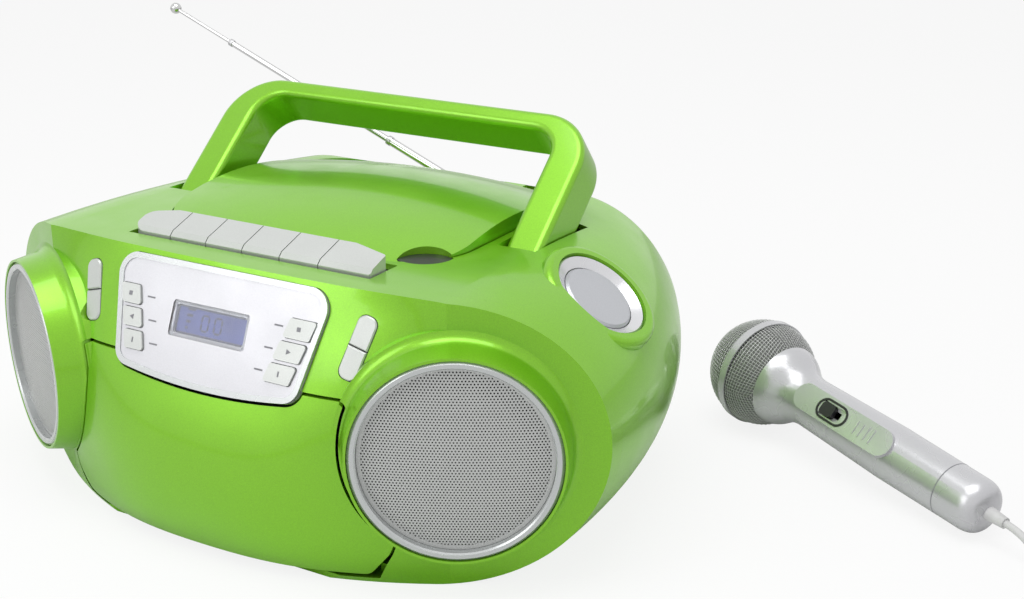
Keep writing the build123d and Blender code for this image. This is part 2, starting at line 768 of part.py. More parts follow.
def rear_cabinet():
    shell = skin - front_zone()
    shell += knob_hump()
    thick = KNOB_RECESS_DEEP + WALL
    shell -= knob_plane(-KNOB_HUMP_DOWN - REACH) * extrude(
        Circle(KNOB_RECESS_R - WALL), REACH + KNOB_HUMP_DOWN - thick
    )
    shell -= knob_plane(-KNOB_RECESS_DEEP) * extrude(Circle(KNOB_RECESS_R), REACH)
    shell -= knob_plane(-REACH) * extrude(Circle(KNOB_SHAFT_R + RUN), REACH)
    for x0, x1 in handle_bracket_edges():
        shell += both_sides(handle_bracket(x0, x1))
    for side in (-1, 1):
        shell -= handle_slot(side)
    shell -= key_opening()
    shell -= standing(lid_outline(LID_GAP, LID_BACK_GAP), UNDER_TOP - 1, BODY_HEIGHT + 1)
    shell -= standing(lens_outline(), UNDER_TOP - 1, BODY_HEIGHT + 1)
    box, cavity = battery_box()
    shell = (shell + box) - cavity
    y, z = battery_hinge()
    reach = BATTERY_HALF + BATTERY_GAP + 2 * BATTERY_WALL
    shell -= rod((-reach - 1, y, z), (reach + 1, y, z), BATTERY_PIN_R + RUN)
    shell -= socket_hole()
    x, z = AERIAL_X, AERIAL_Z
    shell -= rod((x, REAR_Y - 2 * WALL, z), (x, REAR_Y + 1, z), AERIAL_PIN_R + RUN)
    for x, y in screw_places():
        x0, x1, back = x - TAB_HALF, x + TAB_HALF, JOIN_Y + TAB_HALF
        shell += slab(x0, x1, y - TAB_HALF, back, WALL, WALL + TAB_THICK)
        shell += slab(x0, x1, JOIN_Y + FIT, back, WALL / 2, WALL)
        shell -= rod((x, y, WALL - 1), (x, y, WALL + TAB_THICK + 1), SCREW_SHANK_R)
    for x, y in board_posts():
        shell += rod((x, y, WALL / 2), (x, y, BOARD_Z), POST_R)
    return shell


def board_posts():
    (x0, x1), (y0, y1) = BOARD_X, BOARD_Y
    return [(x, y) for x in (x0 + POST_R, x1 - POST_R) for y in (y0 + POST_R, y1 - POST_R)]


def case_screws():
    screws = Part()
    for x, y in screw_places():
        screws += rod((x, y, SCREW_SUNK), (x, y, SCREW_SUNK + SCREW_HEAD), SCREW_R)
        screws += rod((x, y, SCREW_SUNK + SCREW_HEAD), (x, y, WALL + TAB_THICK), SCREW_SHANK_R)
    return screws


# ---------------------------------------------------------------- control panel


def lcd_outline(grow=0.0):
    size = RectangleRounded(LCD_WIDE + 2 * grow, LCD_TALL + 2 * grow, LCD_EDGE)
    return Pos(LCD_X, -LCD_DOWN) * size


def panel_buttons():
    for side, columns in (("left", LEFT_BUTTONS_X), ("right", RIGHT_BUTTONS_X)):
        for row in range(len(BUTTON_ROWS)):
            yield f"panel_button_{side}_{row + 1}", columns, row


def control_panel():
    face = panel_plane()
    plate = prism(face, panel_outline(), -PANEL_POCKET, -BEZEL_DEEP)
    plate += prism(face, panel_outline(BEZEL_WIDE), -BEZEL_DEEP, PANEL_PROUD)
    plate -= prism(face, lcd_outline(), PANEL_PROUD - LCD_THICK, REACH)
    plate -= prism(face, lcd_outline(-LCD_EDGE), -REACH, REACH)
    for _, columns, row in panel_buttons():
        plate -= prism(face, button_outline(columns, row, BUTTON_GAP), -REACH, REACH)
    return plate


def panel_bezel():
    ring = panel_outline() - panel_outline(BEZEL_WIDE)
    return prism(panel_plane(), ring, -BEZEL_DEEP, BEZEL_PROUD)


def lcd_window():
    return prism(panel_plane(), lcd_outline(), PANEL_PROUD - LCD_THICK, PANEL_PROUD)


def lcd_module():
    back = -PANEL_POCKET
    return prism(panel_plane(), lcd_outline(LCD_EDGE), back - LCD_MODULE_THICK, back)


def panel_button(columns, row):
    low = -PANEL_POCKET - FIT - BUTTON_FLANGE_THICK
    face = panel_plane()
    cap = prism(face, button_outline(columns, row), low, PANEL_PROUD + BUTTON_PROUD)
    flange = button_outline(columns, row, BUTTON_FLANGE)
    return cap + prism(face, flange, low, low + BUTTON_FLANGE_THICK)


def side_button(side, half):
    back = -WALL - SIDE_BUTTON_BEHIND
    face = side_button_plane(side)
    cap = prism(face, side_button_outline(half), back - BUTTON_FLANGE_THICK, SIDE_BUTTON_PROUD)
    top = cap.faces().sort_by(Axis(face.origin, face.z_dir))[-1]
    cap = chamfer(top.edges(), SIDE_BUTTON_PROUD / 3)
    flange = side_button_outline(half, SIDE_BUTTON_FLANGE)
    return cap + prism(face, flange, back - BUTTON_FLANGE_THICK, back)


# ---------------------------------------------------------------- tape keys


def key_bank_outline():
    """Plan of the whole row of keys: the left end is rounded, the right end tapers."""
    x0, x1 = KEY_EDGES[0], KEY_EDGES[-1]
    plan = Polyline(
        (x0, KEY_FRONT_Y), (x1, KEY_FRONT_Y), (x1, KEY_BACK_Y - KEY_END_TAPER),
        (KEY_EDGES[-2], KEY_BACK_Y), (KEY_EDGES[1], KEY_BACK_Y), (x0, KEY_BACK_Y - KEY_END_TAPER),
        close=True,
    )
    sketch = Sketch() + make_face(plan)
    left = sketch.vertices().group_by(Axis.X)[0]
    sketch = fillet(left, KEY_END_R)
    return fillet(sketch.vertices().group_by(Axis.X)[-1], KEY_EDGE_R)


def tape_key(number):
    x0 = KEY_EDGES[number] + KEY_GAP / 2
    x1 = KEY_EDGES[number + 1] - KEY_GAP / 2
    hub_front = KEY_SHAFT_Y - KEY_HUB_R
    profile = Polyline(
        (KEY_FRONT_Y, KEY_SKIRT_Z), (KEY_BACK_Y, KEY_SKIRT_Z), (KEY_BACK_Y, KEY_BACK_Z - 1.5),
        (KEY_BACK_Y - 2, KEY_BACK_Z), (KEY_FRONT_Y + 2, KEY_FRONT_Z), (KEY_FRONT_Y, KEY_FRONT_Z - 2),
        close=True,
    )
    body = Plane.YZ.offset(x0) * extrude(make_face(profile), x1 - x0)
    body &= standing(key_bank_outline(), KEY_SKIRT_Z, KEY_BACK_Z + 1)
    arm_low, arm_high = KEY_SHAFT_Z - KEY_HUB_R, KEY_SHAFT_Z + KEY_HUB_R
    hub_x0, hub_x1 = x0 + KEY_HUB_INSET, x1 - KEY_HUB_INSET
    body += slab(hub_x0, hub_x1, hub_front - KEY_END_TAPER, KEY_SHAFT_Y, arm_low, arm_high)
    body += rod((hub_x0, KEY_SHAFT_Y, KEY_SHAFT_Z), (hub_x1, KEY_SHAFT_Y, KEY_SHAFT_Z), KEY_HUB_R)
    return body - rod((x0 - 1, KEY_SHAFT_Y, KEY_SHAFT_Z), (x1 + 1, KEY_SHAFT_Y, KEY_SHAFT_Z),
                      KEY_SHAFT_R + RUN)


# ---------------------------------------------------------------- cassette mechanism


def cassette_chassis():
    back = CHASSIS_Y + CHASSIS_THICK
    half, foot = CHASSIS_HALF, CHASSIS_FOOT_HALF
    top = CHASSIS_TOP_Z
    foot_top = WALL + CHASSIS_THICK
    frame = slab(-half, half, CHASSIS_Y, back, TAB_THICK + WALL, top)
    frame += slab(-foot, foot, CHASSIS_Y, back, WALL, top)
    frame += slab(-foot, foot, CHASSIS_Y, CHASSIS_FOOT_Y, WALL, foot_top)
    frame += slab(-half, half, CHASSIS_Y, DECK_FRONT_Y, top - CHASSIS_THICK, top)
    lug_front = KEY_SHAFT_Y - KEY_HUB_R
    for side in (-1, 1):
        low = side * KEY_LUG_X - KEY_LUG_WIDE / 2
        high = low + KEY_LUG_WIDE
        frame += slab(low, high, lug_front, DECK_FRONT_Y - KEY_LUG_GAP, top - CHASSIS_THICK,
                      KEY_SHAFT_Z + KEY_HUB_R)
        inside, outside = sorted((side * (half - 1), side * (KEY_LUG_X + KEY_LUG_WIDE / 2)))
        lug_back = DECK_FRONT_Y - KEY_LUG_GAP
        frame += slab(inside, outside, lug_front, lug_back, top - CHASSIS_THICK, top)
    reach = KEY_LUG_X
    frame += rod((-reach, KEY_SHAFT_Y, KEY_SHAFT_Z), (reach, KEY_SHAFT_Y, KEY_SHAFT_Z), KEY_SHAFT_R)
    for x in (-REEL_X, REEL_X):
        frame -= rod((x, CHASSIS_Y - 1, REEL_Z), (x, back + 1, REEL_Z), REEL_SHAFT_R + RUN)
    return frame - rod((CAPSTAN_X, CHASSIS_Y - 1, CAPSTAN_Z), (CAPSTAN_X, back + 1, CAPSTAN_Z),
                       CAPSTAN_R + RUN)


def reel_hub(side):
    x, z = side * REEL_X, REEL_Z
    front = CHASSIS_Y - FIT - REEL_LONG
    back = CHASSIS_Y + CHASSIS_THICK + FLYWHEEL_GAP
    hub = rod((x, front, z), (x, CHASSIS_Y - FIT, z), REEL_R)
    for step in range(3):
        fin = slab(REEL_R - 1, REEL_R + REEL_FIN, front, CHASSIS_Y - 2, -REEL_FIN / 2, REEL_FIN / 2)
        hub += Pos(x, 0, z) * Rot(0, 120 * step, 0) * fin
    hub += rod((x, CHASSIS_Y - 1, z), (x, back + PULLEY_THICK, z), REEL_SHAFT_R)
    return hub + rod((x, back, z), (x, back + PULLEY_THICK, z), PULLEY_R)


def capstan():
    x, z = CAPSTAN_X, CAPSTAN_Z
    front = CHASSIS_Y - FIT - REEL_LONG
    back = CHASSIS_Y + CHASSIS_THICK + FLYWHEEL_GAP
    pin = rod((x, front, z), (x, back + FLYWHEEL_THICK, z), CAPSTAN_R)
    return pin + rod((x, back, z), (x, back + FLYWHEEL_THICK, z), FLYWHEEL_R)


# ---------------------------------------------------------------- speakers


def speaker_ring(side):
    edge = RING_BEVEL
    profile = [
        (RING_BORE_R, -RING_THICK), (RING_R, -RING_THICK), (RING_R, -edge),
        (RING_R - edge, 0), (RING_BORE_R + edge / 2, 0), (RING_BORE_R, -edge / 2),
    ]
    return speaker_plane(side) * turned(profile)


def speaker_grille(side):
    """Domed sheet; its small holes are part of the finish."""
    rim = RING_BORE_R - FIT / 3
    ball_r = (rim**2 + GRILLE_DOME**2) / (2 * GRILLE_DOME)
    centre = Pos(0, 0, GRILLE_DOME + GRILLE_THICK - RING_THICK - ball_r)
    cap = centre * Sphere(ball_r) - centre * Sphere(ball_r - GRILLE_THICK)
    return speaker_plane(side) * (cap & standing(Circle(rim), -RING_THICK, 0))


def speaker_drivers():
    face = -RING_THICK - WALL
    back = face - DRIVER_FLANGE
    deep = back - BASKET_DEEP
    profile = [
        (DRIVER_R, face), (DRIVER_R, back), (DRIVER_R - DRIVER_FLANGE, back), (MAGNET_R + 1, deep),
        (MAGNET_R, deep), (MAGNET_R, deep - MAGNET_LONG), (0, deep - MAGNET_LONG),
        (0, face - CONE_DEEP), (CONE_R / 3, face - CONE_DEEP), (CONE_R, face - 1), (CONE_R + 1, face),
    ]
    return Part() + [speaker_plane(side) * turned(profile) for side in (-1, 1)]


# ---------------------------------------------------------------- disc lid, deck and drive


def dome(drop=0.0):
    """Block with a double-curved top, for the lid and its hollow."""
    middle = (LID_FRONT_Y + LID_BACK_Y) / 2
    half = (LID_BACK_Y - LID_FRONT_Y) / 2 + 2 * REACH / 3
    top = LID_TOP_Z - drop
    long_r, cross_r = LID_LONG_R - drop, LID_CROSS_R - drop
    edge = top - long_r + sqrt(long_r**2 - half**2)
    with BuildSketch(Plane.YZ) as profile:
        with BuildLine():
            ThreePointArc((middle - half, edge), (middle, top), (middle + half, edge))
            Polyline((middle + half, edge), (middle + half, top - REACH * 2),
                     (middle - half, top - REACH * 2), (middle - half, edge))
        make_face()
    turn = 2 * degrees(asin((LID_HALF + REACH / 3) / LID_CROSS_R))
    axis = Axis((0, 0, top - cross_r), (0, 1, 0))
    return revolve(profile.sketch, axis, turn).rotate(axis, -turn / 2)


def knuckle_spans(width, gap=0.0):
    """X ranges of the lid's two knuckles."""
    for side in (-1, 1):
        middle = side * LID_KNUCKLE_X
        yield middle - width / 2 - gap, middle + width / 2 + gap


def disc_lid():
    rest = UNDER_TOP + FIT
    top = LID_TOP_Z + 1
    lid = standing(lid_outline(), rest, top) & dome()
    hollow = standing(lid_outline(-LID_THICK), rest - 1, top) & dome(LID_THICK)
    hollow -= standing(lens_outline(LID_THICK), rest - 2, top + 1)
    lid -= hollow
    lid -= standing(lens_outline(), rest - 1, top)
    y, z = LID_PIVOT_Y, LID_PIVOT_Z
    lugs = LID_KNUCKLE_WIDE + 2 * LID_LUG_WIDE + 4 * FIT
    clear = LID_KNUCKLE_R + 2 * FIT
    for x0, x1 in knuckle_spans(lugs):
        lid -= slab(x0, x1, y - clear, LID_BACK_Y + 1, z - clear, z + clear)
    knuckles, bores = [], []
    for x0, x1 in knuckle_spans(LID_KNUCKLE_WIDE):
        half = LID_KNUCKLE_R
        web = slab(x0, x1, y - half, y + half, z, z + clear + LID_THICK / 3)
        knuckles.append(web + rod((x0, y, z), (x1, y, z), half))
        bores.append(rod((x0 - 1, y, z), (x1 + 1, y, z), LID_PIN_R + RUN))
    return lid + knuckles - bores


def lid_hinge_pins():
    y, z = LID_PIVOT_Y, LID_PIVOT_Z
    spans = knuckle_spans(LID_KNUCKLE_WIDE, FIT + LID_LUG_WIDE)
    return Part() + [rod((x0, y, z), (x1, y, z), LID_PIN_R) for x0, x1 in spans]


def disc_deck():
    low = UNDER_TOP - DECK_THICK
    floor_low = WELL_FLOOR_Z - WELL_FLOOR_THICK
    deck = standing(lid_outline(DECK_MARGIN, LID_BACK_GAP + DECK_MARGIN), low, UNDER_TOP) & inner
    front = KEY_LUG_X + KEY_LUG_WIDE
    deck -= slab(-front, front, KEY_FRONT_Y, DECK_FRONT_Y, low - 1, UNDER_TOP + 1)
    deck += Pos(0, DISC_Y, 0) * standing(Circle(WELL_R + WELL_WALL), floor_low, UNDER_TOP)
    deck -= Pos(0, DISC_Y, 0) * standing(Circle(WELL_R), WELL_FLOOR_Z, UNDER_TOP + 1)
    y, z = LID_PIVOT_Y, LID_PIVOT_Z
    swing = LID_BACK_Y - y + LID_SWING_GAP
    deck -= slab(-LID_HALF, LID_HALF, y - FIT, y + swing, UNDER_TOP - DECK_GROOVE, UNDER_TOP + 1)
    for x0, x1 in knuckle_spans(LID_KNUCKLE_WIDE, FIT):
        pocket = LID_KNUCKLE_R + 2 * FIT
        deck -= slab(x0, x1, y - pocket, y + pocket, low - 1, UNDER_TOP + 1)
        for a, b in ((x0 - LID_LUG_WIDE, x0), (x1, x1 + LID_LUG_WIDE)):
            deck += slab(a, b, y - LID_KNUCKLE_R, y + LID_KNUCKLE_R, low, z)
            deck += rod((a, y, z), (b, y, z), LID_KNUCKLE_R)
        deck -= rod((x0 - LID_LUG_WIDE - 1, y, z), (x1 + LID_LUG_WIDE + 1, y, z), LID_PIN_R)
    deck -= standing(lens_outline(), low - 1, UNDER_TOP + 1)
    centre = Pos(0, DISC_Y, 0)
    deck += centre * standing(Circle(MOTOR_R), floor_low - MOTOR_LONG, floor_low)
    deck -= centre * standing(Circle(SPINDLE_SHAFT_R + RUN), floor_low - MOTOR_LONG - 1, WELL_FLOOR_Z + 1)
    far = PICKUP_FROM + PICKUP_TRAVEL
    slot = PICKUP_LENS / 2 + PICKUP_GAP
    deck -= slab(-far - slot, -PICKUP_FROM + slot, DISC_Y - PICKUP_LENS / 2 - PICKUP_GAP,
                 DISC_Y + PICKUP_LENS / 2 + PICKUP_GAP, floor_low - 1, WELL_FLOOR_Z + 1)
    near_bracket = -PICKUP_FROM + PICKUP_LONG / 2 + PICKUP_GAP
    far_bracket = -far - PICKUP_LONG / 2 - PICKUP_GAP
    for x0 in (near_bracket, far_bracket - RAIL_BRACKET):
        deck += slab(x0, x0 + RAIL_BRACKET, DISC_Y - PICKUP_WIDE / 2, DISC_Y + PICKUP_WIDE / 2,
                     floor_low - RAIL_DROP - 2 * RAIL_R, floor_low)
    z = floor_low - RAIL_DROP
    for y in (DISC_Y - RAIL_APART / 2, DISC_Y + RAIL_APART / 2):
        deck += rod((far_bracket, y, z), (near_bracket, y, z), RAIL_R)
    return deck


def pickup_sled():
    floor_low = WELL_FLOOR_Z - WELL_FLOOR_THICK
    z = floor_low - RAIL_DROP
    x0, x1 = -PICKUP_FROM - PICKUP_LONG / 2, -PICKUP_FROM + PICKUP_LONG / 2
    sled = slab(x0, x1, DISC_Y - PICKUP_WIDE / 2, DISC_Y + PICKUP_WIDE / 2,
                z - 2 * RAIL_R, floor_low - FIT)
    half = PICKUP_LENS / 2
    sled += slab(-PICKUP_FROM - half, -PICKUP_FROM + half, DISC_Y - half, DISC_Y + half,
                 floor_low - 1, WELL_FLOOR_Z + PICKUP_GAP)
    for y in (DISC_Y - RAIL_APART / 2, DISC_Y + RAIL_APART / 2):
        sled -= rod((x0 - 1, y, z), (x1 + 1, y, z), RAIL_R + RUN)
    return sled


def disc_spindle():
    foot = WELL_FLOOR_Z - WELL_FLOOR_THICK - MOTOR_LONG + FIT
    seat = WELL_FLOOR_Z + FIT
    profile = [
        (0, foot), (SPINDLE_SHAFT_R, foot), (SPINDLE_SHAFT_R, seat), (SPINDLE_HUB_R, seat),
        (SPINDLE_HUB_R, seat + SPINDLE_RIM), (SPINDLE_NOSE_R, seat + SPINDLE_RIM),
        (SPINDLE_NOSE_R, seat + SPINDLE_TALL - SPINDLE_RIM),
        (SPINDLE_NOSE_R * 0.7, seat + SPINDLE_TALL), (0, seat + SPINDLE_TALL),
    ]
    return Pos(0, DISC_Y, 0) * turned(profile)


def lid_button():
    low = UNDER_TOP - DECK_THICK - FIT - LID_BUTTON_FLANGE
    button = standing(lens_outline(-BUTTON_GAP), low, BODY_HEIGHT - LID_BUTTON_SUNK)
    return button + standing(lens_outline(LID_BUTTON_FLANGE), low, low + LID_BUTTON_FLANGE)


# ---------------------------------------------------------------- tuning knob


def tuning_bezel():
    low = -KNOB_RECESS_DEEP
    rim = KNOB_RECESS_R - FIT / 3
    return knob_plane() * turned([
        (KNOB_RING_R, low), (rim, low), (rim, KNOB_UP - 1), (rim - 1, KNOB_UP),
        (KNOB_RING_R, KNOB_UP - KNOB_DISH),
    ])


def tuning_knob():
    low = -KNOB_RECESS_DEEP + FIT
    return knob_plane() * turned([
        (0, low - KNOB_SHAFT_LONG), (KNOB_SHAFT_R, low - KNOB_SHAFT_LONG), (KNOB_SHAFT_R, low),
        (KNOB_R, low), (KNOB_R, KNOB_UP - KNOB_DISH), (KNOB_R - 1, KNOB_UP - KNOB_DISH + 1),
        (0, KNOB_UP - KNOB_DISH + 1),
    ])


# ---------------------------------------------------------------- handle


def handle_plane(lift=0.0):
    """Plane of the handle: local Y runs up its legs."""
    lean = radians(HANDLE_LEAN)
    place = Plane(
        origin=(0, HANDLE_PIVOT_Y, HANDLE_PIVOT_Z),
        x_dir=(1, 0, 0),
        z_dir=(0, -cos(lean), sin(lean)),
    )
    return place.offset(lift)


def handle():
    half = HANDLE_DEEP / 2
    out = HANDLE_X + HANDLE_WIDE / 2
    inside = HANDLE_X - HANDLE_WIDE / 2
    frame = Pos(0, HANDLE_REACH / 2) * Rectangle(2 * out, HANDLE_REACH)
    frame = fillet(frame.vertices().group_by(Axis.Y)[-1], HANDLE_CORNER_R)
    opening_top = HANDLE_REACH - HANDLE_BAR
    gap = Pos(0, opening_top / 2) * Rectangle(2 * inside, opening_top)
    gap = fillet(gap.vertices().group_by(Axis.Y)[-1], HANDLE_INNER_R)
    loop = prism(handle_plane(), frame - gap, -half, half)
    y, z = HANDLE_PIVOT_Y, HANDLE_PIVOT_Z
    for x0, x1 in ((-out, -inside), (inside, out)):
        loop += rod((x0, y, z), (x1, y, z), half)
    free = BODY_HEIGHT + REACH / 2
    rims = [e for e in loop.edges() if e.center().Z > free and e.length > HANDLE_DEEP + 1]
    loop = fillet(rims, HANDLE_EDGE_R)
    for x0, x1 in ((-out, -inside), (inside, out)):
        loop -= rod((x0 - 1, y, z), (x1 + 1, y, z), HANDLE_PIN_R + RUN)
    return loop


def handle_pivots():
    (x0, _), (_, x1) = handle_bracket_edges()
    y, z = HANDLE_PIVOT_Y, HANDLE_PIVOT_Z
    return both_sides(rod((x0, y, z), (x1, y, z), HANDLE_PIN_R))


# ---------------------------------------------------------------- antenna


def aerial_plane(along=0.0):
    """Plane across the rod; its local Z runs up the rod."""
    rise = radians(AERIAL_RISE)
    place = Plane(
        origin=(AERIAL_X, REAR_Y + AERIAL_STAND, AERIAL_Z),
        x_dir=(sin(rise), 0, cos(rise)),
        z_dir=(-cos(rise), 0, sin(rise)),
    )
    return place.offset(along)


def antenna_swivel():
    x, z = AERIAL_X, AERIAL_Z
    face = REAR_Y + FIT
    inside = REAR_Y - WALL - FIT
    swivel = rod((x, face, z), (x, face + AERIAL_CHEEK, z), AERIAL_SWIVEL_R)
    swivel += rod((x, inside - AERIAL_CHEEK, z), (x, face, z), AERIAL_PIN_R)
    swivel += rod((x, inside - AERIAL_CHEEK, z), (x, inside, z), AERIAL_PIN_R + AERIAL_CHEEK)
    gap = AERIAL_EYE / 2 + FIT
    stand = AERIAL_STAND - FIT
    for side in (-1, 1):
        low, high = sorted((side * gap, side * (gap + AERIAL_CHEEK)))
        cheek = slab(low, high, -stand, 0, -AERIAL_EYE / 2, AERIAL_EYE / 2)
        cheek += rod((low, 0, 0), (high, 0, 0), AERIAL_EYE / 2)
        swivel += aerial_plane() * cheek
    return swivel + aerial_plane() * rod((-gap - 1, 0, 0), (gap + 1, 0, 0), AERIAL_HINGE_R)


def antenna_lower():
    lower, middle, _ = AERIAL_RADII
    eye = AERIAL_EYE / 2
    tube = rod((-eye, 0, 0), (eye, 0, 0), eye + AERIAL_HINGE_R / 2)
    tube += standing(Circle(lower), AERIAL_HINGE_R + 0.5, AERIAL_LOWER)
    tube -= rod((-eye - 1, 0, 0), (eye + 1, 0, 0), AERIAL_HINGE_R + RUN)
    tube -= standing(Circle(middle + RUN), AERIAL_EYE * 1.5, AERIAL_LOWER + 1)
    return aerial_plane() * tube


def antenna_middle():
    _, middle, tip = AERIAL_RADII
    start, end = AERIAL_LOWER - AERIAL_INSERT, AERIAL_LOWER + AERIAL_MIDDLE
    tube = standing(Circle(middle), start, end)
    tube -= standing(Circle(tip + RUN), start + AERIAL_EYE / 2, end + 1)
    return aerial_plane() * tube


def antenna_tip():
    end = AERIAL_LOWER + AERIAL_MIDDLE
    spear = standing(Circle(AERIAL_RADII[-1]), end - AERIAL_TIP_INSERT, end + AERIAL_UPPER)
    return aerial_plane() * (spear + Pos(0, 0, end + AERIAL_UPPER) * Sphere(AERIAL_BALL_R))


# ---------------------------------------------------------------- inside and rear


def main_board():
    (x0, x1), (y0, y1) = BOARD_X, BOARD_Y
    top = BOARD_Z + BOARD_THICK
    board = slab(x0, x1, y0, y1, BOARD_Z, top)
    for x, y, wide, deep in ((-20, 0, 18, 12), (18, 20, 12, 12), (30, -16, 14, 8), (-34, 28, 10, 8)):
        board += slab(x - wide / 2, x + wide / 2, y - deep / 2, y + deep / 2, top, top + BOARD_THICK)
    for x in (-4, 8, 20):
        board += rod((x, 36, top), (x, 36, top + CAPACITOR_TALL), CAPACITOR_R)
    return board


def power_transformer():
    x, y = TRANSFORMER_X, TRANSFORMER_Y
    core = slab(x - CORE_WIDE / 2, x + CORE_WIDE / 2, y - CORE_THICK / 2, y + CORE_THICK / 2,
                WALL, WALL + CORE_TALL)
    coil_half = CORE_WIDE / 3
    low, high = WALL + CORE_TALL / 5, WALL + CORE_TALL * 4 / 5
    return core + slab(x - coil_half, x + coil_half, y - CORE_THICK, y + CORE_THICK, low, high)


def rear_sockets():
    x, z = SOCKET_X, SOCKET_Z
    face = REAR_Y - SOCKET_SUNK
    back = REAR_Y - 2 * WALL
    block = slab(x - SOCKET_WIDE / 2, x + SOCKET_WIDE / 2, REAR_Y - WALL, face,
                 z - SOCKET_TALL / 2, z + SOCKET_TALL / 2)
    block += slab(x - SOCKET_WIDE / 2 - 1, x + SOCKET_WIDE / 2 + 1, back, REAR_Y - WALL,
                  z - SOCKET_TALL / 2 - 1, z + SOCKET_TALL / 2 + 1)
    jack_z = z + SOCKET_TALL / 4
    for jack_x in (x - SOCKET_WIDE / 4, x + SOCKET_WIDE / 4):
        block += rod((jack_x, back - JACK_DEEP, jack_z), (jack_x, back, jack_z), JACK_R + WALL)
        block -= rod((jack_x, back - JACK_DEEP + WALL, jack_z), (jack_x, REAR_Y, jack_z), JACK_R)
    inlet_z = z - SOCKET_TALL / 4
    inlet = Plane.XZ.offset(-back - 1) * Pos(x, inlet_z) * SlotOverall(INLET_WIDE, INLET_TALL)
    block -= extrude(inlet, -REAR_Y + back)
    for pin_x in (x - INLET_TALL / 2, x + INLET_TALL / 2):
        block += rod((pin_x, back, inlet_z), (pin_x, face - 1, inlet_z), AERIAL_HINGE_R)
    return block


# ---------------------------------------------------------------- microphone


def mic_plane():
    """Frame of the microphone: origin in its head, Z towards its tail, X out of its switch."""
    head = Vector(*MIC_HEAD, MIC_BAND_R + FIT)
    tail = Vector(*MIC_TAIL, MIC_GRIP_R + FIT)
    along = (tail - head).normalized()
    across = Vector(along.Y, -along.X, 0).normalized()
    up = along.cross(across)
    up = up if up.Z > 0 else up * -1
    turn = radians(MIC_FACE_TURN)
    return Plane(origin=head, x_dir=across * cos(turn) + up * sin(turn), z_dir=along)


def mic_length():
    head = Vector(*MIC_HEAD, MIC_BAND_R + FIT)
    tail = Vector(*MIC_TAIL, MIC_GRIP_R + FIT)
    return (tail - head).length


def mic_form(inset, tail_hole):
    """Turned form of the handpiece, drawn inwards by inset."""
    end = mic_length() - inset
    round_from = end - MIC_TAIL_ROUND + inset
    with BuildSketch(Plane.XZ) as profile:
        with BuildLine():
            Line((0, MIC_COLLAR_AT), (MIC_COLLAR_R - inset, MIC_COLLAR_AT))
            Spline(
                (MIC_COLLAR_R - inset, MIC_COLLAR_AT),
                (MIC_COLLAR_R - 5 - inset, MIC_COLLAR_AT + 10),
                (MIC_NECK_R - inset, MIC_NECK_AT),
                tangents=((-0.15, 1), (0, 1)),
            )
            Polyline((MIC_NECK_R - inset, MIC_NECK_AT), (MIC_GRIP_R - inset, MIC_GRIP_AT),
                     (MIC_TAIL_R - inset, round_from))
            Spline((MIC_TAIL_R - inset, round_from), (MIC_TAIL_R - inset - 2.5, end - 2),
                   (tail_hole, end), tangents=((0, 1), (-1, 0.1)))
            Polyline((tail_hole, end), (0, end), (0, MIC_COLLAR_AT))
        make_face()
    return turned(profile.sketch)


def pad_outline():
    low, high = MIC_PAD
    return Pos(0, (low + high) / 2) * Rot(0, 0, 90) * SlotOverall(high - low, MIC_PAD_WIDE)


def mic_body():
    end = mic_length()
    body = mic_form(0.0, RELIEF_R)
    body += Plane.YZ.offset(MIC_GRIP_R / 2) * extrude(pad_outline(), MIC_PAD_TOP - MIC_GRIP_R / 2)
    body -= mic_form(MIC_WALL, RELIEF_R)
    body -= standing(Circle(RELIEF_R), end - 2 * MIC_WALL, end + 1)
    half_long, half_wide = MIC_SWITCH_LONG / 2 + FIT, MIC_SWITCH_WIDE / 2 + FIT
    at, far = MIC_SWITCH_AT, MIC_SWITCH_AT + MIC_SWITCH_TRAVEL
    floor = MIC_PAD_TOP - MIC_SWITCH_SUNK
    body -= slab(floor, REACH, -half_wide, half_wide, at - half_long, far + half_long)
    stem = MIC_STEM / 2 + FIT
    return mic_plane() * (body - slab(0, REACH, -stem, stem, at - stem, far + stem))


def mic_switch():
    floor = MIC_PAD_TOP - MIC_SWITCH_SUNK + FIT
    at, half = MIC_SWITCH_AT, MIC_STEM / 2
    cap = slab(floor, floor + MIC_SWITCH_TALL, -MIC_SWITCH_WIDE / 2, MIC_SWITCH_WIDE / 2,
               at - MIC_SWITCH_LONG / 2, at + MIC_SWITCH_LONG / 2)
    cap = fillet(cap.edges().filter_by(Axis.X), MIC_SWITCH_WIDE / 3)
    return mic_plane() * (cap + slab(floor - MIC_WALL - 1, floor, -half, half, at - half, at + half))


def mic_grille():
    ball = Sphere(MIC_BALL_R) - Sphere(MIC_BALL_R - MIC_MESH_THICK)
    return mic_plane() * (ball & standing(Circle(2 * MIC_BALL_R), -2 * MIC_BALL_R, MIC_COLLAR_AT))


def mic_band():
    half = MIC_BAND_WIDE / 2
    band = standing(Circle(MIC_BAND_R) - Circle(MIC_BALL_R), -half, half)
    return mic_plane() * band


def mic_strain_relief():
    end = mic_length()
    return mic_plane() * turned([
        (0, end - MIC_WALL), (RELIEF_R, end - MIC_WALL), (RELIEF_R, end),
        (CORD_R + RELIEF_WALL, end + RELIEF_LONG), (0, end + RELIEF_LONG),
    ])


# ---------------------------------------------------------------- microphone cord


def bend_radii(points):
    """Each bend is as large as its two runs allow."""
    radii = []
    for a, b, c in zip(points, points[1:], points[2:]):
        first, second = b - a, c - b
        half_turn = radians(first.get_angle(second)) / 2
        radii.append(0.45 * min(first.length, second.length) / tan(half_turn))
    return radii


def cord_start():
    """Route of the cord from the microphone into the coil."""
    start = mic_plane().from_local_coords((0, 0, mic_length() + RELIEF_LONG))
    return [Vector(start)] + [Vector(*p) for p in CORD_ROUTE]


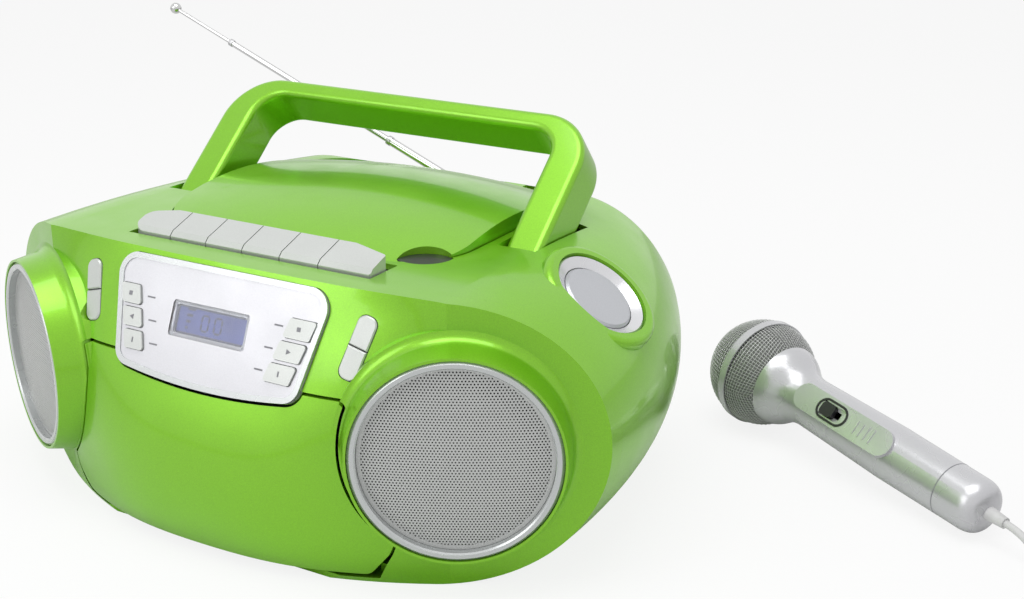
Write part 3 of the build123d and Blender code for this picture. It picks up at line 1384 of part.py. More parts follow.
def cord_lead():
    """Route of the other end: off the top outer turn of the coil and down to the plug."""
    x, top = last_turn_x(), (2 * COIL_TURNS_HIGH - 1) * CORD_R
    outer_r = COIL_R + COIL_TURNS_WIDE * CORD_R
    leave = COIL_Y + sqrt(outer_r**2 - (x - COIL_X) ** 2) - CORD_R
    level, down, end = COIL_LEAD
    return [Vector(x, leave, top), Vector(x, COIL_Y + level, top),
            Vector(x, COIL_Y + down, PLUG_R), Vector(x, COIL_Y + end, PLUG_R)]


def last_turn_x():
    return COIL_X + COIL_R + (COIL_TURNS_WIDE - 1) * CORD_R


def cord_tube(points):
    radii = bend_radii(points)
    print("cord bend radii:", [round(r, 1) for r in radii])
    path = FilletPolyline(*points, radius=radii)
    return sweep(Plane(origin=points[0], z_dir=points[1] - points[0]) * Circle(CORD_R), path)


def mic_cord():
    return Part() + [cord_tube(cord_start()), cord_tube(cord_lead())]


def mic_coil():
    half = COIL_TURNS_WIDE * CORD_R
    tall = COIL_TURNS_HIGH * 2 * CORD_R
    section = Pos(COIL_R, tall / 2) * RectangleRounded(2 * half, tall, CORD_R)
    return Pos(COIL_X, COIL_Y, 0) * revolve(Plane.XZ * section, Axis.Z)


def mic_plug():
    waist = PLUG_TIP_R - PLUG_NECK
    tip = PLUG_LONG + PLUG_TIP_LONG
    profile = [
        (0, 0), (CORD_R + 1, 0), (PLUG_R, PLUG_LONG / 3), (PLUG_R, PLUG_LONG),
        (PLUG_TIP_R, PLUG_LONG), (PLUG_TIP_R, tip - 6), (waist, tip - 5), (waist, tip - 4),
        (PLUG_TIP_R, tip - 3), (PLUG_NECK, tip), (0, tip),
    ]
    lie = Plane(origin=cord_lead()[-1], z_dir=(0, 1, 0))
    return lie * turned(profile)


# ---------------------------------------------------------------- all nodes

part_nodes = {
    "front_cabinet": front_cabinet(),
    "rear_cabinet": rear_cabinet(),
    "cassette_door": cassette_door(),
    "door_hinge_pins": door_hinge_pins(),
    "control_panel": control_panel(),
    "panel_bezel": panel_bezel(),
    "lcd_window": lcd_window(),
    "lcd_module": lcd_module(),
    "speaker_drivers": speaker_drivers(),
    "disc_lid": disc_lid(),
    "lid_hinge_pins": lid_hinge_pins(),
    "disc_deck": disc_deck(),
    "disc_spindle": disc_spindle(),
    "pickup_sled": pickup_sled(),
    "lid_button": lid_button(),
    "tuning_knob": tuning_knob(),
    "tuning_bezel": tuning_bezel(),
    "handle": handle(),
    "handle_pivots": handle_pivots(),
    "antenna_swivel": antenna_swivel(),
    "antenna_lower": antenna_lower(),
    "antenna_middle": antenna_middle(),
    "antenna_tip": antenna_tip(),
    "battery_door": battery_door(),
    "cassette_chassis": cassette_chassis(),
    "capstan": capstan(),
    "main_board": main_board(),
    "power_transformer": power_transformer(),
    "rear_sockets": rear_sockets(),
    "case_screws": case_screws(),
    "mic_body": mic_body(),
    "mic_grille": mic_grille(),
    "mic_band": mic_band(),
    "mic_switch": mic_switch(),
    "mic_strain_relief": mic_strain_relief(),
    "mic_cord": mic_cord(),
    "mic_coil": mic_coil(),
    "mic_plug": mic_plug(),
}
for name, columns, row in panel_buttons():
    part_nodes[name] = panel_button(columns, row)
for number in range(len(KEY_EDGES) - 1):
    part_nodes[f"tape_key_{number + 1}"] = tape_key(number)
for word, side in (("left", -1), ("right", 1)):
    part_nodes[f"speaker_ring_{word}"] = speaker_ring(side)
    part_nodes[f"speaker_grille_{word}"] = speaker_grille(side)
    part_nodes[f"reel_hub_{word}"] = reel_hub(side)
    part_nodes[f"side_button_{word}_upper"] = side_button(side, 1)
    part_nodes[f"side_button_{word}_lower"] = side_button(side, -1)

os.makedirs("parts", exist_ok=True)
for name, piece in part_nodes.items():
    export_step(piece, f"parts/{name}.step")
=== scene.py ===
import json
from math import asin, cos, hypot, pi, radians, sin, sqrt

import bmesh
import bpy
from mathutils import Matrix, Vector


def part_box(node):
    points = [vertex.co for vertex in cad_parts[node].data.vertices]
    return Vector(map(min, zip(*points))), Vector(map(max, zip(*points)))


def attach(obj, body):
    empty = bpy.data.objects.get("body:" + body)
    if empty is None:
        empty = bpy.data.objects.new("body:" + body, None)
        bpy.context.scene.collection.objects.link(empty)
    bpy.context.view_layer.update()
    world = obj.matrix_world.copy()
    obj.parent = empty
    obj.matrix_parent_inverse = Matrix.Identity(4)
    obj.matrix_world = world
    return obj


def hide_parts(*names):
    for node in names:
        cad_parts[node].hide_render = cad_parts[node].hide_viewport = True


# Looks of a lime green tape and disc machine with a wired microphone beside it.
# Sizes are in millimetres and go through MM. The floor, the lamps, the depth of a bump and
# the welding distances are in metres, as Blender's own are.

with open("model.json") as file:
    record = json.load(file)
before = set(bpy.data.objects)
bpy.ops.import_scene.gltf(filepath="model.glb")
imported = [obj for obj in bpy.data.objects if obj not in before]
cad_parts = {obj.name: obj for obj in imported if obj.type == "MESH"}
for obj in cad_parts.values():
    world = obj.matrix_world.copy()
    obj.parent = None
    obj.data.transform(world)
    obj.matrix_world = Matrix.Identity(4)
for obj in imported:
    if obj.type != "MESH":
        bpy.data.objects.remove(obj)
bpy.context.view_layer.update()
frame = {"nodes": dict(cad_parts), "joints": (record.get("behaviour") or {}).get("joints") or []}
MM = 0.001
CABINET = "cabinet"
MICROPHONE = "microphone"

# ---- camera: fitted to the lines of the cabinet ----
CAMERA_AT = (404.271, -527.961, 317.316)
CAMERA_AZIMUTH = 30.31
CAMERA_ELEVATION = 19.45
SENSOR_WIDE = 36.0
LENS = 54.87
CLIP_NEAR = 0.01

# ---- places that the looks share with the construction ----
SPEAKER_AT = (113.0, -72.5, 60.0)
TOE = 29.0
GRILLE_R = 38.5
GRILLE_BACK = 5.0
GRILLE_DOME = 2.6
PANEL_AT = (0.0, -67.5, 118.0)
PANEL_LEAN = 22.8
LCD_AT = (-2.3, -23.6)
LCD_HALF = (18.5, 6.0)
LCD_FACE = -2.2
BUTTON_FACE = 1.4
PANEL_FACE = 0.4
# Width of the painted shade bars round the screen.
SCREEN_SHADE_WIDE = 0.9
MIC_HEAD = (150.5, 152.0, 26.9)
MIC_TAIL = (280.0, 83.0, 13.4)
MIC_FACE_TURN = 39.0
MIC_BALL_R = 26.0
MIC_COLLAR_AT = 16.5
MIC_SEAM_AT = 126.0
MIC_PAD_TOP = 14.4
MIC_SWITCH_AT = 58.0
MIC_SWITCH_TRAVEL = 5.0
SURROUND_LONG = 19.0
SURROUND_WIDE = 10.4
RIDGES = 4
RIDGE_FROM = 76.0
RIDGE_STEP = 3.4
RIDGE_LONG = 7.0

# ---- cord: the same route as the construction's ----
CORD_R = 1.7
CORD_EXIT_PAST = 9.0
CORD_ROUTE = (
    (295.5, 74.8, 11.8), (303.0, 72.0, 5.2), (309.5, 67.5, 1.9), (316.0, 61.5, 1.75),
)
COIL_AT = (335.0, 72.0)
COIL_R = 20.0


# ---------------------------------------------------------------- small helpers

SHARP_ANGLE = 35.0
AXIS_R = 0.02
LATHE_WELD = 1e-6


def joint(name):
    return next(j for j in frame["joints"] if j["name"] == name)


def place(origin, x_dir, z_dir):
    """Matrix of a plane from its origin in millimetres and its local X and Z directions."""
    z = Vector(z_dir).normalized()
    x = Vector(x_dir)
    x = (x - z * x.dot(z)).normalized()
    turn = Matrix((x, z.cross(x), z)).transposed().to_4x4()
    return Matrix.Translation(Vector(origin) * MM) @ turn


def speaker_place(side):
    toe = radians(TOE)
    x, y, z = SPEAKER_AT
    return place((side * x, y, z), (cos(toe), side * sin(toe), 0), (side * sin(toe), -cos(toe), 0))


def panel_place():
    lean = radians(PANEL_LEAN)
    return place(PANEL_AT, (1, 0, 0), (0, -cos(lean), sin(lean)))


def mic_place():
    """Origin in the microphone's head, Z towards its tail, X out of its switch."""
    along = (Vector(MIC_TAIL) - Vector(MIC_HEAD)).normalized()
    across = Vector((along.y, -along.x, 0)).normalized()
    up = along.cross(across)
    up = up if up.z > 0 else -up
    turn = radians(MIC_FACE_TURN)
    return place(MIC_HEAD, across * cos(turn) + up * sin(turn), along)


def mic_length():
    return (Vector(MIC_TAIL) - Vector(MIC_HEAD)).length


def make_piece(name, points, faces, material, body, at, smooth=True):
    """New mesh object from points in millimetres on a plane, riding on a body."""
    mesh = bpy.data.meshes.new(name)
    mesh.from_pydata([at @ (Vector(p) * MM) for p in points], [], faces)
    mesh.validate()
    for polygon in mesh.polygons:
        polygon.use_smooth = smooth
    mesh.materials.append(material)
    piece = bpy.data.objects.new(name, mesh)
    bpy.context.scene.collection.objects.link(piece)
    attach(piece, body)
    return piece


def weld(piece, distance):
    """Joins points that lie closer together than the distance."""
    bm = bmesh.new()
    bm.from_mesh(piece.data)
    bmesh.ops.remove_doubles(bm, verts=bm.verts, dist=distance)
    bm.to_mesh(piece.data)
    bm.free()


def sharpen(piece):
    """Keeps edges that turn by SHARP_ANGLE or more crisp under smooth shading."""
    bm = bmesh.new()
    bm.from_mesh(piece.data)
    bmesh.ops.recalc_face_normals(bm, faces=bm.faces)
    for edge in bm.edges:
        if len(edge.link_faces) == 2:
            edge.smooth = edge.calc_face_angle() < radians(SHARP_ANGLE)
    bm.to_mesh(piece.data)
    bm.free()
    return piece


def lathe(name, profile, material, body, at, steps=96):
    """Turned piece from a closed profile of (radius, height) points."""
    points, faces = [], []
    count = len(profile)
    for step in range(steps):
        angle = 2 * pi * step / steps
        points += [(r * cos(angle), r * sin(angle), z) for r, z in profile]
    for step in range(steps):
        here, after = step * count, (step + 1) % steps * count
        for i in range(count):
            j = (i + 1) % count
            faces.append((here + i, after + i, after + j, here + j))
    piece = make_piece(name, points, faces, material, body, at)
    weld(piece, LATHE_WELD)
    return sharpen(piece)


def plate(name, outline, low, high, material, body, at):
    """Flat outline with thickness."""
    count = len(outline)
    points = [(x, y, low) for x, y in outline] + [(x, y, high) for x, y in outline]
    faces = [tuple(reversed(range(count))), tuple(range(count, 2 * count))]
    faces += [(i, (i + 1) % count, count + (i + 1) % count, count + i) for i in range(count)]
    return make_piece(name, points, faces, material, body, at, smooth=False)


def dress(material, *names):
    for name in names:
        node = frame["nodes"][name]
        for slot in node.material_slots:
            slot.material = material


# ---------------------------------------------------------------- materials

COAT_ROUGHNESS = 0.08
FLAKE_SCALE = 2600
DRIFT_SCALE = 55
PEEL_SCALE = 420
PEEL_DEPTH = 0.00002
PEEL_STRENGTH = 0.25
GRAIN_DEPTH = 0.00004
GRAIN_STRENGTH = 0.5
WINDOW_IOR = 1.45


def new_material(name, color, roughness, metallic=0.0, coat=0.0):
    material = bpy.data.materials.new(name)
    material.use_nodes = True
    shader = material.node_tree.nodes["Principled BSDF"]
    shader.inputs["Base Color"].default_value = (*color, 1)
    shader.inputs["Roughness"].default_value = roughness
    shader.inputs["Metallic"].default_value = metallic
    shader.inputs["Coat Weight"].default_value = coat
    shader.inputs["Coat Roughness"].default_value = COAT_ROUGHNESS
    return material


def noise(tree, scale, detail=2.0):
    where = tree.nodes.new("ShaderNodeTexCoord")
    texture = tree.nodes.new("ShaderNodeTexNoise")
    texture.inputs["Scale"].default_value = scale
    texture.inputs["Detail"].default_value = detail
    tree.links.new(where.outputs["Object"], texture.inputs["Vector"])
    return texture.outputs["Fac"]


def ramp(tree, factor, low, high, start=0.3, end=0.7):
    """Factor between start and end mapped to low to high."""
    node = tree.nodes.new("ShaderNodeMapRange")
    node.inputs["From Min"].default_value = start
    node.inputs["From Max"].default_value = end
    node.inputs["To Min"].default_value = low
    node.inputs["To Max"].default_value = high
    tree.links.new(factor, node.inputs["Value"])
    return node.outputs["Result"]


def vary_color(material, factor, first, second):
    tree = material.node_tree
    mix = tree.nodes.new("ShaderNodeMix")
    mix.data_type = "RGBA"
    mix.inputs["A"].default_value = (*first, 1)
    mix.inputs["B"].default_value = (*second, 1)
    tree.links.new(factor, mix.inputs["Factor"])
    tree.links.new(mix.outputs["Result"], tree.nodes["Principled BSDF"].inputs["Base Color"])


def vary_roughness(material, factor, low, high):
    tree = material.node_tree
    tree.links.new(ramp(tree, factor, low, high), tree.nodes["Principled BSDF"].inputs["Roughness"])


def add_bump(material, height, distance, strength):
    tree = material.node_tree
    bump = tree.nodes.new("ShaderNodeBump")
    bump.inputs["Distance"].default_value = distance
    bump.inputs["Strength"].default_value = strength
    tree.links.new(height, bump.inputs["Height"])
    tree.links.new(bump.outputs["Normal"], tree.nodes["Principled BSDF"].inputs["Normal"])


def shade(color, factor):
    return tuple(min(1.0, c * factor) for c in color)


def lacquer(name, color, roughness, metallic, coat, flake=0.08):
    """Metallic lacquer: fine flakes, a slow drift of roughness and a faint orange peel."""
    material = new_material(name, color, roughness, metallic, coat)
    tree = material.node_tree
    flakes = noise(tree, FLAKE_SCALE, 1)
    vary_color(material, ramp(tree, flakes, 0, 1), shade(color, 1 - flake), shade(color, 1 + flake))
    vary_roughness(material, noise(tree, DRIFT_SCALE), roughness * 0.85, roughness * 1.15)
    add_bump(material, noise(tree, PEEL_SCALE, 1), PEEL_DEPTH, PEEL_STRENGTH)
    return material


def moulded(name, color, roughness, grain=900):
    """Moulded plastic with a fine grain and slightly uneven sheen."""
    material = new_material(name, color, roughness)
    tree = material.node_tree
    vary_color(material, ramp(tree, noise(tree, 140), 0, 1), shade(color, 0.9), shade(color, 1.1))
    vary_roughness(material, noise(tree, 90), roughness * 0.85, min(1.0, roughness * 1.15))
    add_bump(material, noise(tree, grain), GRAIN_DEPTH, GRAIN_STRENGTH)
    return material


def plated(name, color, roughness):
    """Bright plating, a little uneven and finely scratched."""
    material = new_material(name, color, roughness, 1.0)
    tree = material.node_tree
    vary_color(material, ramp(tree, noise(tree, 60), 0, 1), shade(color, 0.94), shade(color, 1.04))
    vary_roughness(material, noise(tree, 220, 4), roughness * 0.7, roughness * 1.4)
    return material


def glowing(name, color, strength):
    """Display face that gives off a little light of its own colour."""
    material = new_material(name, color, 0.4)
    tree = material.node_tree
    shader = tree.nodes["Principled BSDF"]
    vary_color(material, ramp(tree, noise(tree, 90), 0, 1), shade(color, 0.85), shade(color, 1.15))
    shader.inputs["Emission Color"].default_value = (*color, 1)
    shader.inputs["Emission Strength"].default_value = strength
    return material


def clear(name, color, roughness):
    """Clear plastic window."""
    material = new_material(name, color, roughness)
    shader = material.node_tree.nodes["Principled BSDF"]
    shader.inputs["Transmission Weight"].default_value = 1.0
    shader.inputs["IOR"].default_value = WINDOW_IOR
    return material


green = lacquer("lime_lacquer", (0.21, 0.52, 0.012), 0.33, 0.55, 0.5)
silver = lacquer("silver_lacquer", (0.6, 0.6, 0.63), 0.34, 0.45, 0.3, 0.04)
key_silver = lacquer("key_lacquer", (0.56, 0.58, 0.56), 0.36, 0.4, 0.3, 0.04)
knob_silver = lacquer("knob_lacquer", (0.68, 0.68, 0.7), 0.25, 0.5, 0.4, 0.03)
knob_grey = lacquer("knob_face", (0.5, 0.51, 0.54), 0.35, 0.5, 0.2, 0.04)
trim = lacquer("ring_lacquer", (0.52, 0.54, 0.54), 0.26, 0.6, 0.5, 0.03)
mic_silver = lacquer("microphone_lacquer", (0.56, 0.56, 0.58), 0.28, 0.5, 0.4, 0.03)
chrome = plated("bright_plating", (0.6, 0.6, 0.6), 0.12)
steel = plated("plain_steel", (0.5, 0.5, 0.51), 0.3)
grille_grey = lacquer("grille_paint", (0.52, 0.53, 0.52), 0.45, 0.4, 0.0, 0.06)
wire_grey = lacquer("wire_paint", (0.6, 0.61, 0.6), 0.38, 0.5, 0.0, 0.06)
black = moulded("black_plastic", (0.012, 0.012, 0.013), 0.4)
dark = moulded("dark_plastic", (0.05, 0.05, 0.055), 0.55)
cone_grey = moulded("cone_paper", (0.6, 0.61, 0.6), 0.7, 500)
foam = moulded("dark_foam", (0.24, 0.245, 0.24), 0.95, 700)
print_grey = moulded("print_grey", (0.22, 0.22, 0.24), 0.5)
board_green = moulded("board_green", (0.02, 0.16, 0.06), 0.45)
cord_grey = moulded("cord_jacket", (0.62, 0.62, 0.62), 0.5, 600)
screen_blue = glowing("screen_blue", (0.028, 0.05, 0.26), 0.16)
screen_mark = glowing("screen_mark", (0.006, 0.01, 0.06), 0.02)
# Painted shade: dark blue for the bars round the screen, where the recess walls fall into shadow.
screen_shade_frame = moulded("screen_shade_frame", (0.03, 0.035, 0.1), 0.4)
glass = clear("clear_window", (0.95, 0.97, 1.0), 0.02)


def dress_nodes():
    everything = list(frame["nodes"])
    dress(green, *everything)
    dress(silver, "control_panel")
    dress(trim, "panel_bezel", "speaker_ring_left", "speaker_ring_right")
    keys = [n for n in everything if n.startswith(("tape_key", "panel_button", "side_button"))]
    dress(key_silver, *keys)
    dress(knob_silver, "tuning_bezel")
    dress(knob_grey, "tuning_knob")
    dress(glass, "lcd_window")
    dress(screen_blue, "lcd_module")
    dress(black, "lid_button", "disc_deck", "mic_switch", "pickup_sled", "rear_sockets")
    dress(dark, "speaker_drivers", "cassette_chassis", "reel_hub_left", "reel_hub_right",
          "disc_spindle", "power_transformer")
    dress(steel, "door_hinge_pins", "lid_hinge_pins", "handle_pivots", "case_screws", "capstan",
          "antenna_swivel", "mic_plug")
    dress(chrome, "antenna_lower", "antenna_middle", "antenna_tip")
    dress(board_green, "main_board")
    dress(mic_silver, "mic_body", "mic_band")
    dress(wire_grey, "mic_grille")
    dress(cord_grey, "mic_strain_relief", "mic_cord", "mic_coil")


# ---------------------------------------------------------------- speakers

HOLE_PITCH = 1.35
HOLE_R = 0.4
SHEET_THICK = 0.6
SHEET_PROUD = 1.2
SHEET_WELD = 2e-5
RIM_WIDE = 1.6
RIM_BELOW = 0.6
RIM_ABOVE = 0.25
BASKET = (
    (33.5, -7.5), (39.0, -7.5), (39.0, -9.5), (37.0, -9.5), (23.0, -31.5), (22.0, -31.5),
    (22.0, -47.5), (0.1, -47.5), (0.1, -30.0), (20.0, -30.0), (32.5, -10.0),
)
ROLL_R = 33.8
ROLL_WIDE = 6.0
ROLL_BASE = -8.4
ROLL_RISE = 2.2
ROLL_STEPS = 8
ROLL_UNDER = ((27.4, -9.4), (34.2, -9.4))
PAPER = ((28.0, -8.6), (25.5, -9.4), (22.0, -11.8), (18.0, -15.2), (14.0, -18.6), (10.5, -21.0))
PAPER_THICK = 0.6
CAP_R = 11.0
CAP_BASE = -19.4
CAP_RISE = 5.0
CAP_FLOOR = -21.0


def grille_height(r):
    """Height of the domed sheet over the speaker plane."""
    ball_r = (GRILLE_R**2 + GRILLE_DOME**2) / (2 * GRILLE_DOME)
    return GRILLE_DOME + SHEET_PROUD - GRILLE_BACK - ball_r + sqrt(ball_r**2 - r**2)


def speaker_grille(side, word):
    """Domed sheet with a honeycomb of small holes."""
    points, faces = [], []
    row_step = HOLE_PITCH * sqrt(3) / 2
    rows = int(GRILLE_R / row_step) + 1
    reach = GRILLE_R - RIM_WIDE / 2
    cell_r = HOLE_PITCH / sqrt(3)
    for row in range(-rows, rows + 1):
        for column in range(-rows - 2, rows + 3):
            x = (column + (row % 2) / 2) * HOLE_PITCH
            y = row * row_step
            if hypot(x, y) > reach:
                continue
            start = len(points)
            for radius, drop in ((cell_r, 0), (HOLE_R, 0), (HOLE_R, SHEET_THICK), (cell_r, SHEET_THICK)):
                for corner in range(6):
                    angle = radians(90 + 60 * corner)
                    px, py = x + radius * cos(angle), y + radius * sin(angle)
                    far = hypot(px, py)
                    if far > GRILLE_R:
                        px, py, far = px * GRILLE_R / far, py * GRILLE_R / far, GRILLE_R
                    points.append((px, py, grille_height(far) - drop))
            for ring in range(3):
                for corner in range(6):
                    a = start + 6 * ring + corner
                    b = start + 6 * ring + (corner + 1) % 6
                    faces.append((a, b, b + 6, a + 6))
    name = f"grille_sheet_{word}"
    sheet = make_piece(name, points, faces, grille_grey, CABINET, speaker_place(side))
    weld(sheet, SHEET_WELD)
    sharpen(sheet)
    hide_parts(f"speaker_grille_{word}")
    inner, edge = GRILLE_R - RIM_WIDE, grille_height(GRILLE_R)
    low, high = edge - RIM_BELOW, edge + RIM_ABOVE
    profile = [(inner, low), (GRILLE_R, low), (GRILLE_R, high), (inner, high)]
    rim = lathe(f"grille_rim_{word}", profile, grille_grey, CABINET, speaker_place(side))


def speaker_cone(side, word):
    """Driver behind the grille: basket, rubber surround, paper cone and dust cap."""
    at = speaker_place(side)
    basket = lathe(f"driver_basket_{word}", BASKET, dark, CABINET, at)
    roll = [(ROLL_R - ROLL_WIDE * t / ROLL_STEPS, ROLL_BASE + ROLL_RISE * sin(pi * t / ROLL_STEPS))
            for t in range(ROLL_STEPS + 1)]
    surround = lathe(f"driver_surround_{word}", [*roll, *ROLL_UNDER], dark, CABINET, at)
    under = [(r, z - PAPER_THICK) for r, z in reversed(PAPER)]
    cone = lathe(f"driver_cone_{word}", [*PAPER, *under], cone_grey, CABINET, at)
    cap = [(CAP_R * sin(radians(a)), CAP_BASE + CAP_RISE * cos(radians(a))) for a in range(0, 91, 10)]
    cap_profile = [(AXIS_R, cap[0][1]), *cap[1:], (AXIS_R, CAP_FLOOR)]
    dust_cap = lathe(f"driver_cap_{word}", cap_profile, cone_grey, CABINET, at)
    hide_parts("speaker_drivers")


# ---------------------------------------------------------------- display and marks

DIGIT_TALL = 6.4
DIGIT_WIDE = 3.6
DIGIT_SHIFT = 3.4
STROKE = 0.75
FIGURE_LOW = LCD_FACE + 0.02
FIGURE_HIGH = LCD_FACE + 0.12
LEVEL_BARS = 4
LEVEL_LEFT = 0.72
LEVEL_LOW = 0.6
LEVEL_STEP = 2.6
LEVEL_LONG = 1.4
LEVEL_GROWTH = 0.8
LEVEL_TALL = 1.1


def screen_digit(x, lit, index):
    """Seven-segment figure; lit names its segments a to g."""
    half = DIGIT_TALL / 2
    bars = {
        "a": (0, half, True), "g": (0, 0, True), "d": (0, -half, True),
        "f": (-DIGIT_WIDE / 2, half / 2, False), "b": (DIGIT_WIDE / 2, half / 2, False),
        "e": (-DIGIT_WIDE / 2, -half / 2, False), "c": (DIGIT_WIDE / 2, -half / 2, False),
    }
    for key in lit:
        dx, dy, flat = bars[key]
        long = (DIGIT_WIDE if flat else half) / 2 - STROKE * 0.4
        slim = STROKE / 2
        shape = [(-long, 0), (-long + slim, -slim), (long - slim, -slim), (long, 0),
                 (long - slim, slim), (-long + slim, slim)]
        if not flat:
            shape = [(-v, u) for u, v in shape]
        outline = [(LCD_AT[0] + x + dx + u, LCD_AT[1] + dy + v) for u, v in shape]
        bar = plate(f"figure_{index}_{key}", outline, FIGURE_LOW, FIGURE_HIGH, screen_mark, CABINET,
                    panel_place())


def display():
    """Two noughts, and level bars that grow from one to the next."""
    screen_digit(-DIGIT_SHIFT, "abcdef", 1)
    screen_digit(DIGIT_SHIFT, "abcdef", 2)
    wide, tall = LCD_HALF
    for i in range(LEVEL_BARS):
        x = LCD_AT[0] - wide * LEVEL_LEFT
        y = LCD_AT[1] - tall * LEVEL_LOW + i * LEVEL_STEP
        end, top = x + LEVEL_LONG + i * LEVEL_GROWTH, y + LEVEL_TALL
        mark = plate(f"level_bar_{i}", [(x, y), (end, y), (end, top), (x, top)],
                     FIGURE_LOW, FIGURE_HIGH, screen_mark, CABINET, panel_place())


# ---------------------------------------------------------------- microphone head

MESH_CELLS = 24
WIRE_THICK = 0.42
WEAVE = 0.16
MESH_WELD = 1e-4
FOAM_GAP = 1.3
FOAM_STEPS = 24


def even_tangent(index):
    """Tangent of angles spread evenly from -45 to 45 degrees, one for each line of the grid."""
    angle = radians(45) * (2 * index / MESH_CELLS - 1)
    return sin(angle) / cos(angle)


def wire_ball():
    """Woven wire ball: a cube's grid blown up to a sphere, wires over and under."""
    points, faces = [], []
    n = MESH_CELLS
    axes = [((1, 0, 0), (0, 1, 0)), ((-1, 0, 0), (0, 1, 0)), ((0, 1, 0), (0, 0, 1)),
            ((0, -1, 0), (0, 0, 1)), ((0, 0, 1), (1, 0, 0)), ((0, 0, -1), (1, 0, 0))]
    for normal, along in axes:
        normal, along = Vector(normal), Vector(along)
        across = normal.cross(along)
        start = len(points)
        for i in range(n + 1):
            for j in range(n + 1):
                spot = normal + along * even_tangent(i) + across * even_tangent(j)
                lift = WEAVE * (1 if (i + j) % 2 else -1)
                points.append(spot.normalized() * (MIC_BALL_R - WIRE_THICK / 2 + lift / 2))
        for i in range(n):
            for j in range(n):
                a = start + i * (n + 1) + j
                faces.append((a, a + n + 1, a + n + 2, a + 1))
    ball = make_piece("mic_wire_mesh", points, faces, wire_grey, MICROPHONE, mic_place())
    bm = bmesh.new()
    bm.from_mesh(ball.data)
    bmesh.ops.remove_doubles(bm, verts=bm.verts, dist=MESH_WELD)
    cut = mic_place()
    bmesh.ops.bisect_plane(bm, geom=bm.verts[:] + bm.edges[:] + bm.faces[:],
                           plane_co=cut @ Vector((0, 0, MIC_COLLAR_AT * MM)),
                           plane_no=cut.to_3x3() @ Vector((0, 0, 1)), clear_outer=True)
    bmesh.ops.recalc_face_normals(bm, faces=bm.faces)
    bm.to_mesh(ball.data)
    bm.free()
    wires = ball.modifiers.new("wires", "WIREFRAME")
    wires.thickness = WIRE_THICK * MM
    wires.use_even_offset = False
    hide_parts("mic_grille")


def foam_ball():
    """Foam lining inside the wire ball."""
    r = MIC_BALL_R - FOAM_GAP
    stop = asin(MIC_COLLAR_AT / r)
    angles = [-pi / 2 + (stop + pi / 2) * i / FOAM_STEPS for i in range(FOAM_STEPS + 1)]
    outline = [(max(AXIS_R, r * cos(a)), r * sin(a)) for a in angles]
    lining = lathe("mic_foam", outline + [(AXIS_R, MIC_COLLAR_AT)], foam, MICROPHONE, mic_place())


# ---------------------------------------------------------------- cord

COIL_WIDE = 3
COIL_HIGH = 4
TURN_STEP = 24.0
ENTRY_ANGLE = 216.0
COIL_STEPS = 172
COIL_LEAD = (8.0, 16.0, 31.0)
PLUG_AXIS_Z = 5.5
TIE_ANGLE = 118.0
TIE_WIDE = 4.0
TIE_THICK = 0.35
TIE_CORNER_STEPS = 6
SPLINE_ORDER = 3
SPLINE_DETAIL = 6
JACKET_DETAIL = 3
# A spline of that order runs inside its points; this brings the turns back out to their radius.
SPLINE_GROWTH = 1 / (0.75 + 0.25 * cos(radians(TURN_STEP)))


def coil_slot(index):
    """Radius and height of one turn: layers run in, out, in and out again."""
    layer, column = divmod(index, COIL_WIDE)
    if layer % 2:
        column = COIL_WIDE - 1 - column
    pitch = 2 * CORD_R
    return COIL_R + pitch * ((COIL_WIDE - 1) / 2 - column), pitch * (layer + 0.5)


def coil_points():
    """Points of the turns, from the first slot to the last."""
    slots = COIL_WIDE * COIL_HIGH
    points = []
    for step in range(COIL_STEPS):
        radius, height = coil_slot(step * slots // COIL_STEPS)
        angle = radians(ENTRY_ANGLE + step * TURN_STEP)
        spread = radius * SPLINE_GROWTH
        points.append((COIL_AT[0] + spread * cos(angle), COIL_AT[1] + spread * sin(angle), height))
    return points


def mic_cord():
    """Cord on one curve, from the strain relief through the coil to the plug."""
    at = mic_place()
    leave = at @ Vector((0, 0, (mic_length() + CORD_EXIT_PAST) * MM)) / MM
    plug_low, plug_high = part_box("mic_plug")
    plug_x = (plug_low.x + plug_high.x) / 2 / MM
    plug_z = (plug_low.z + plug_high.z) / 2 / MM
    plug_end = (plug_x, plug_low.y / MM, plug_z)
    radius, top = coil_slot(COIL_WIDE * COIL_HIGH - 1)
    x, y = COIL_AT[0] + radius, COIL_AT[1]
    near, level, down = COIL_LEAD
    lead_out = [(x, y + near, top), (x, y + level, top), (x, y + down, PLUG_AXIS_Z)]
    route = [tuple(leave), *CORD_ROUTE, *coil_points(), *lead_out, plug_end]
    data = bpy.data.curves.new("mic_lead", "CURVE")
    data.dimensions = "3D"
    spline = data.splines.new("NURBS")
    spline.points.add(len(route) - 1)
    for point, spot in zip(spline.points, route):
        point.co = (*[c * MM for c in spot], 1)
    spline.order_u = SPLINE_ORDER
    spline.use_endpoint_u = True
    spline.resolution_u = SPLINE_DETAIL
    data.bevel_depth = CORD_R * MM
    data.bevel_resolution = JACKET_DETAIL
    data.materials.append(cord_grey)
    lead = bpy.data.objects.new("mic_lead", data)
    bpy.context.scene.collection.objects.link(lead)
    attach(lead, MICROPHONE)
    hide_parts("mic_cord", "mic_coil")
    return lead, Vector(route[0]) * MM


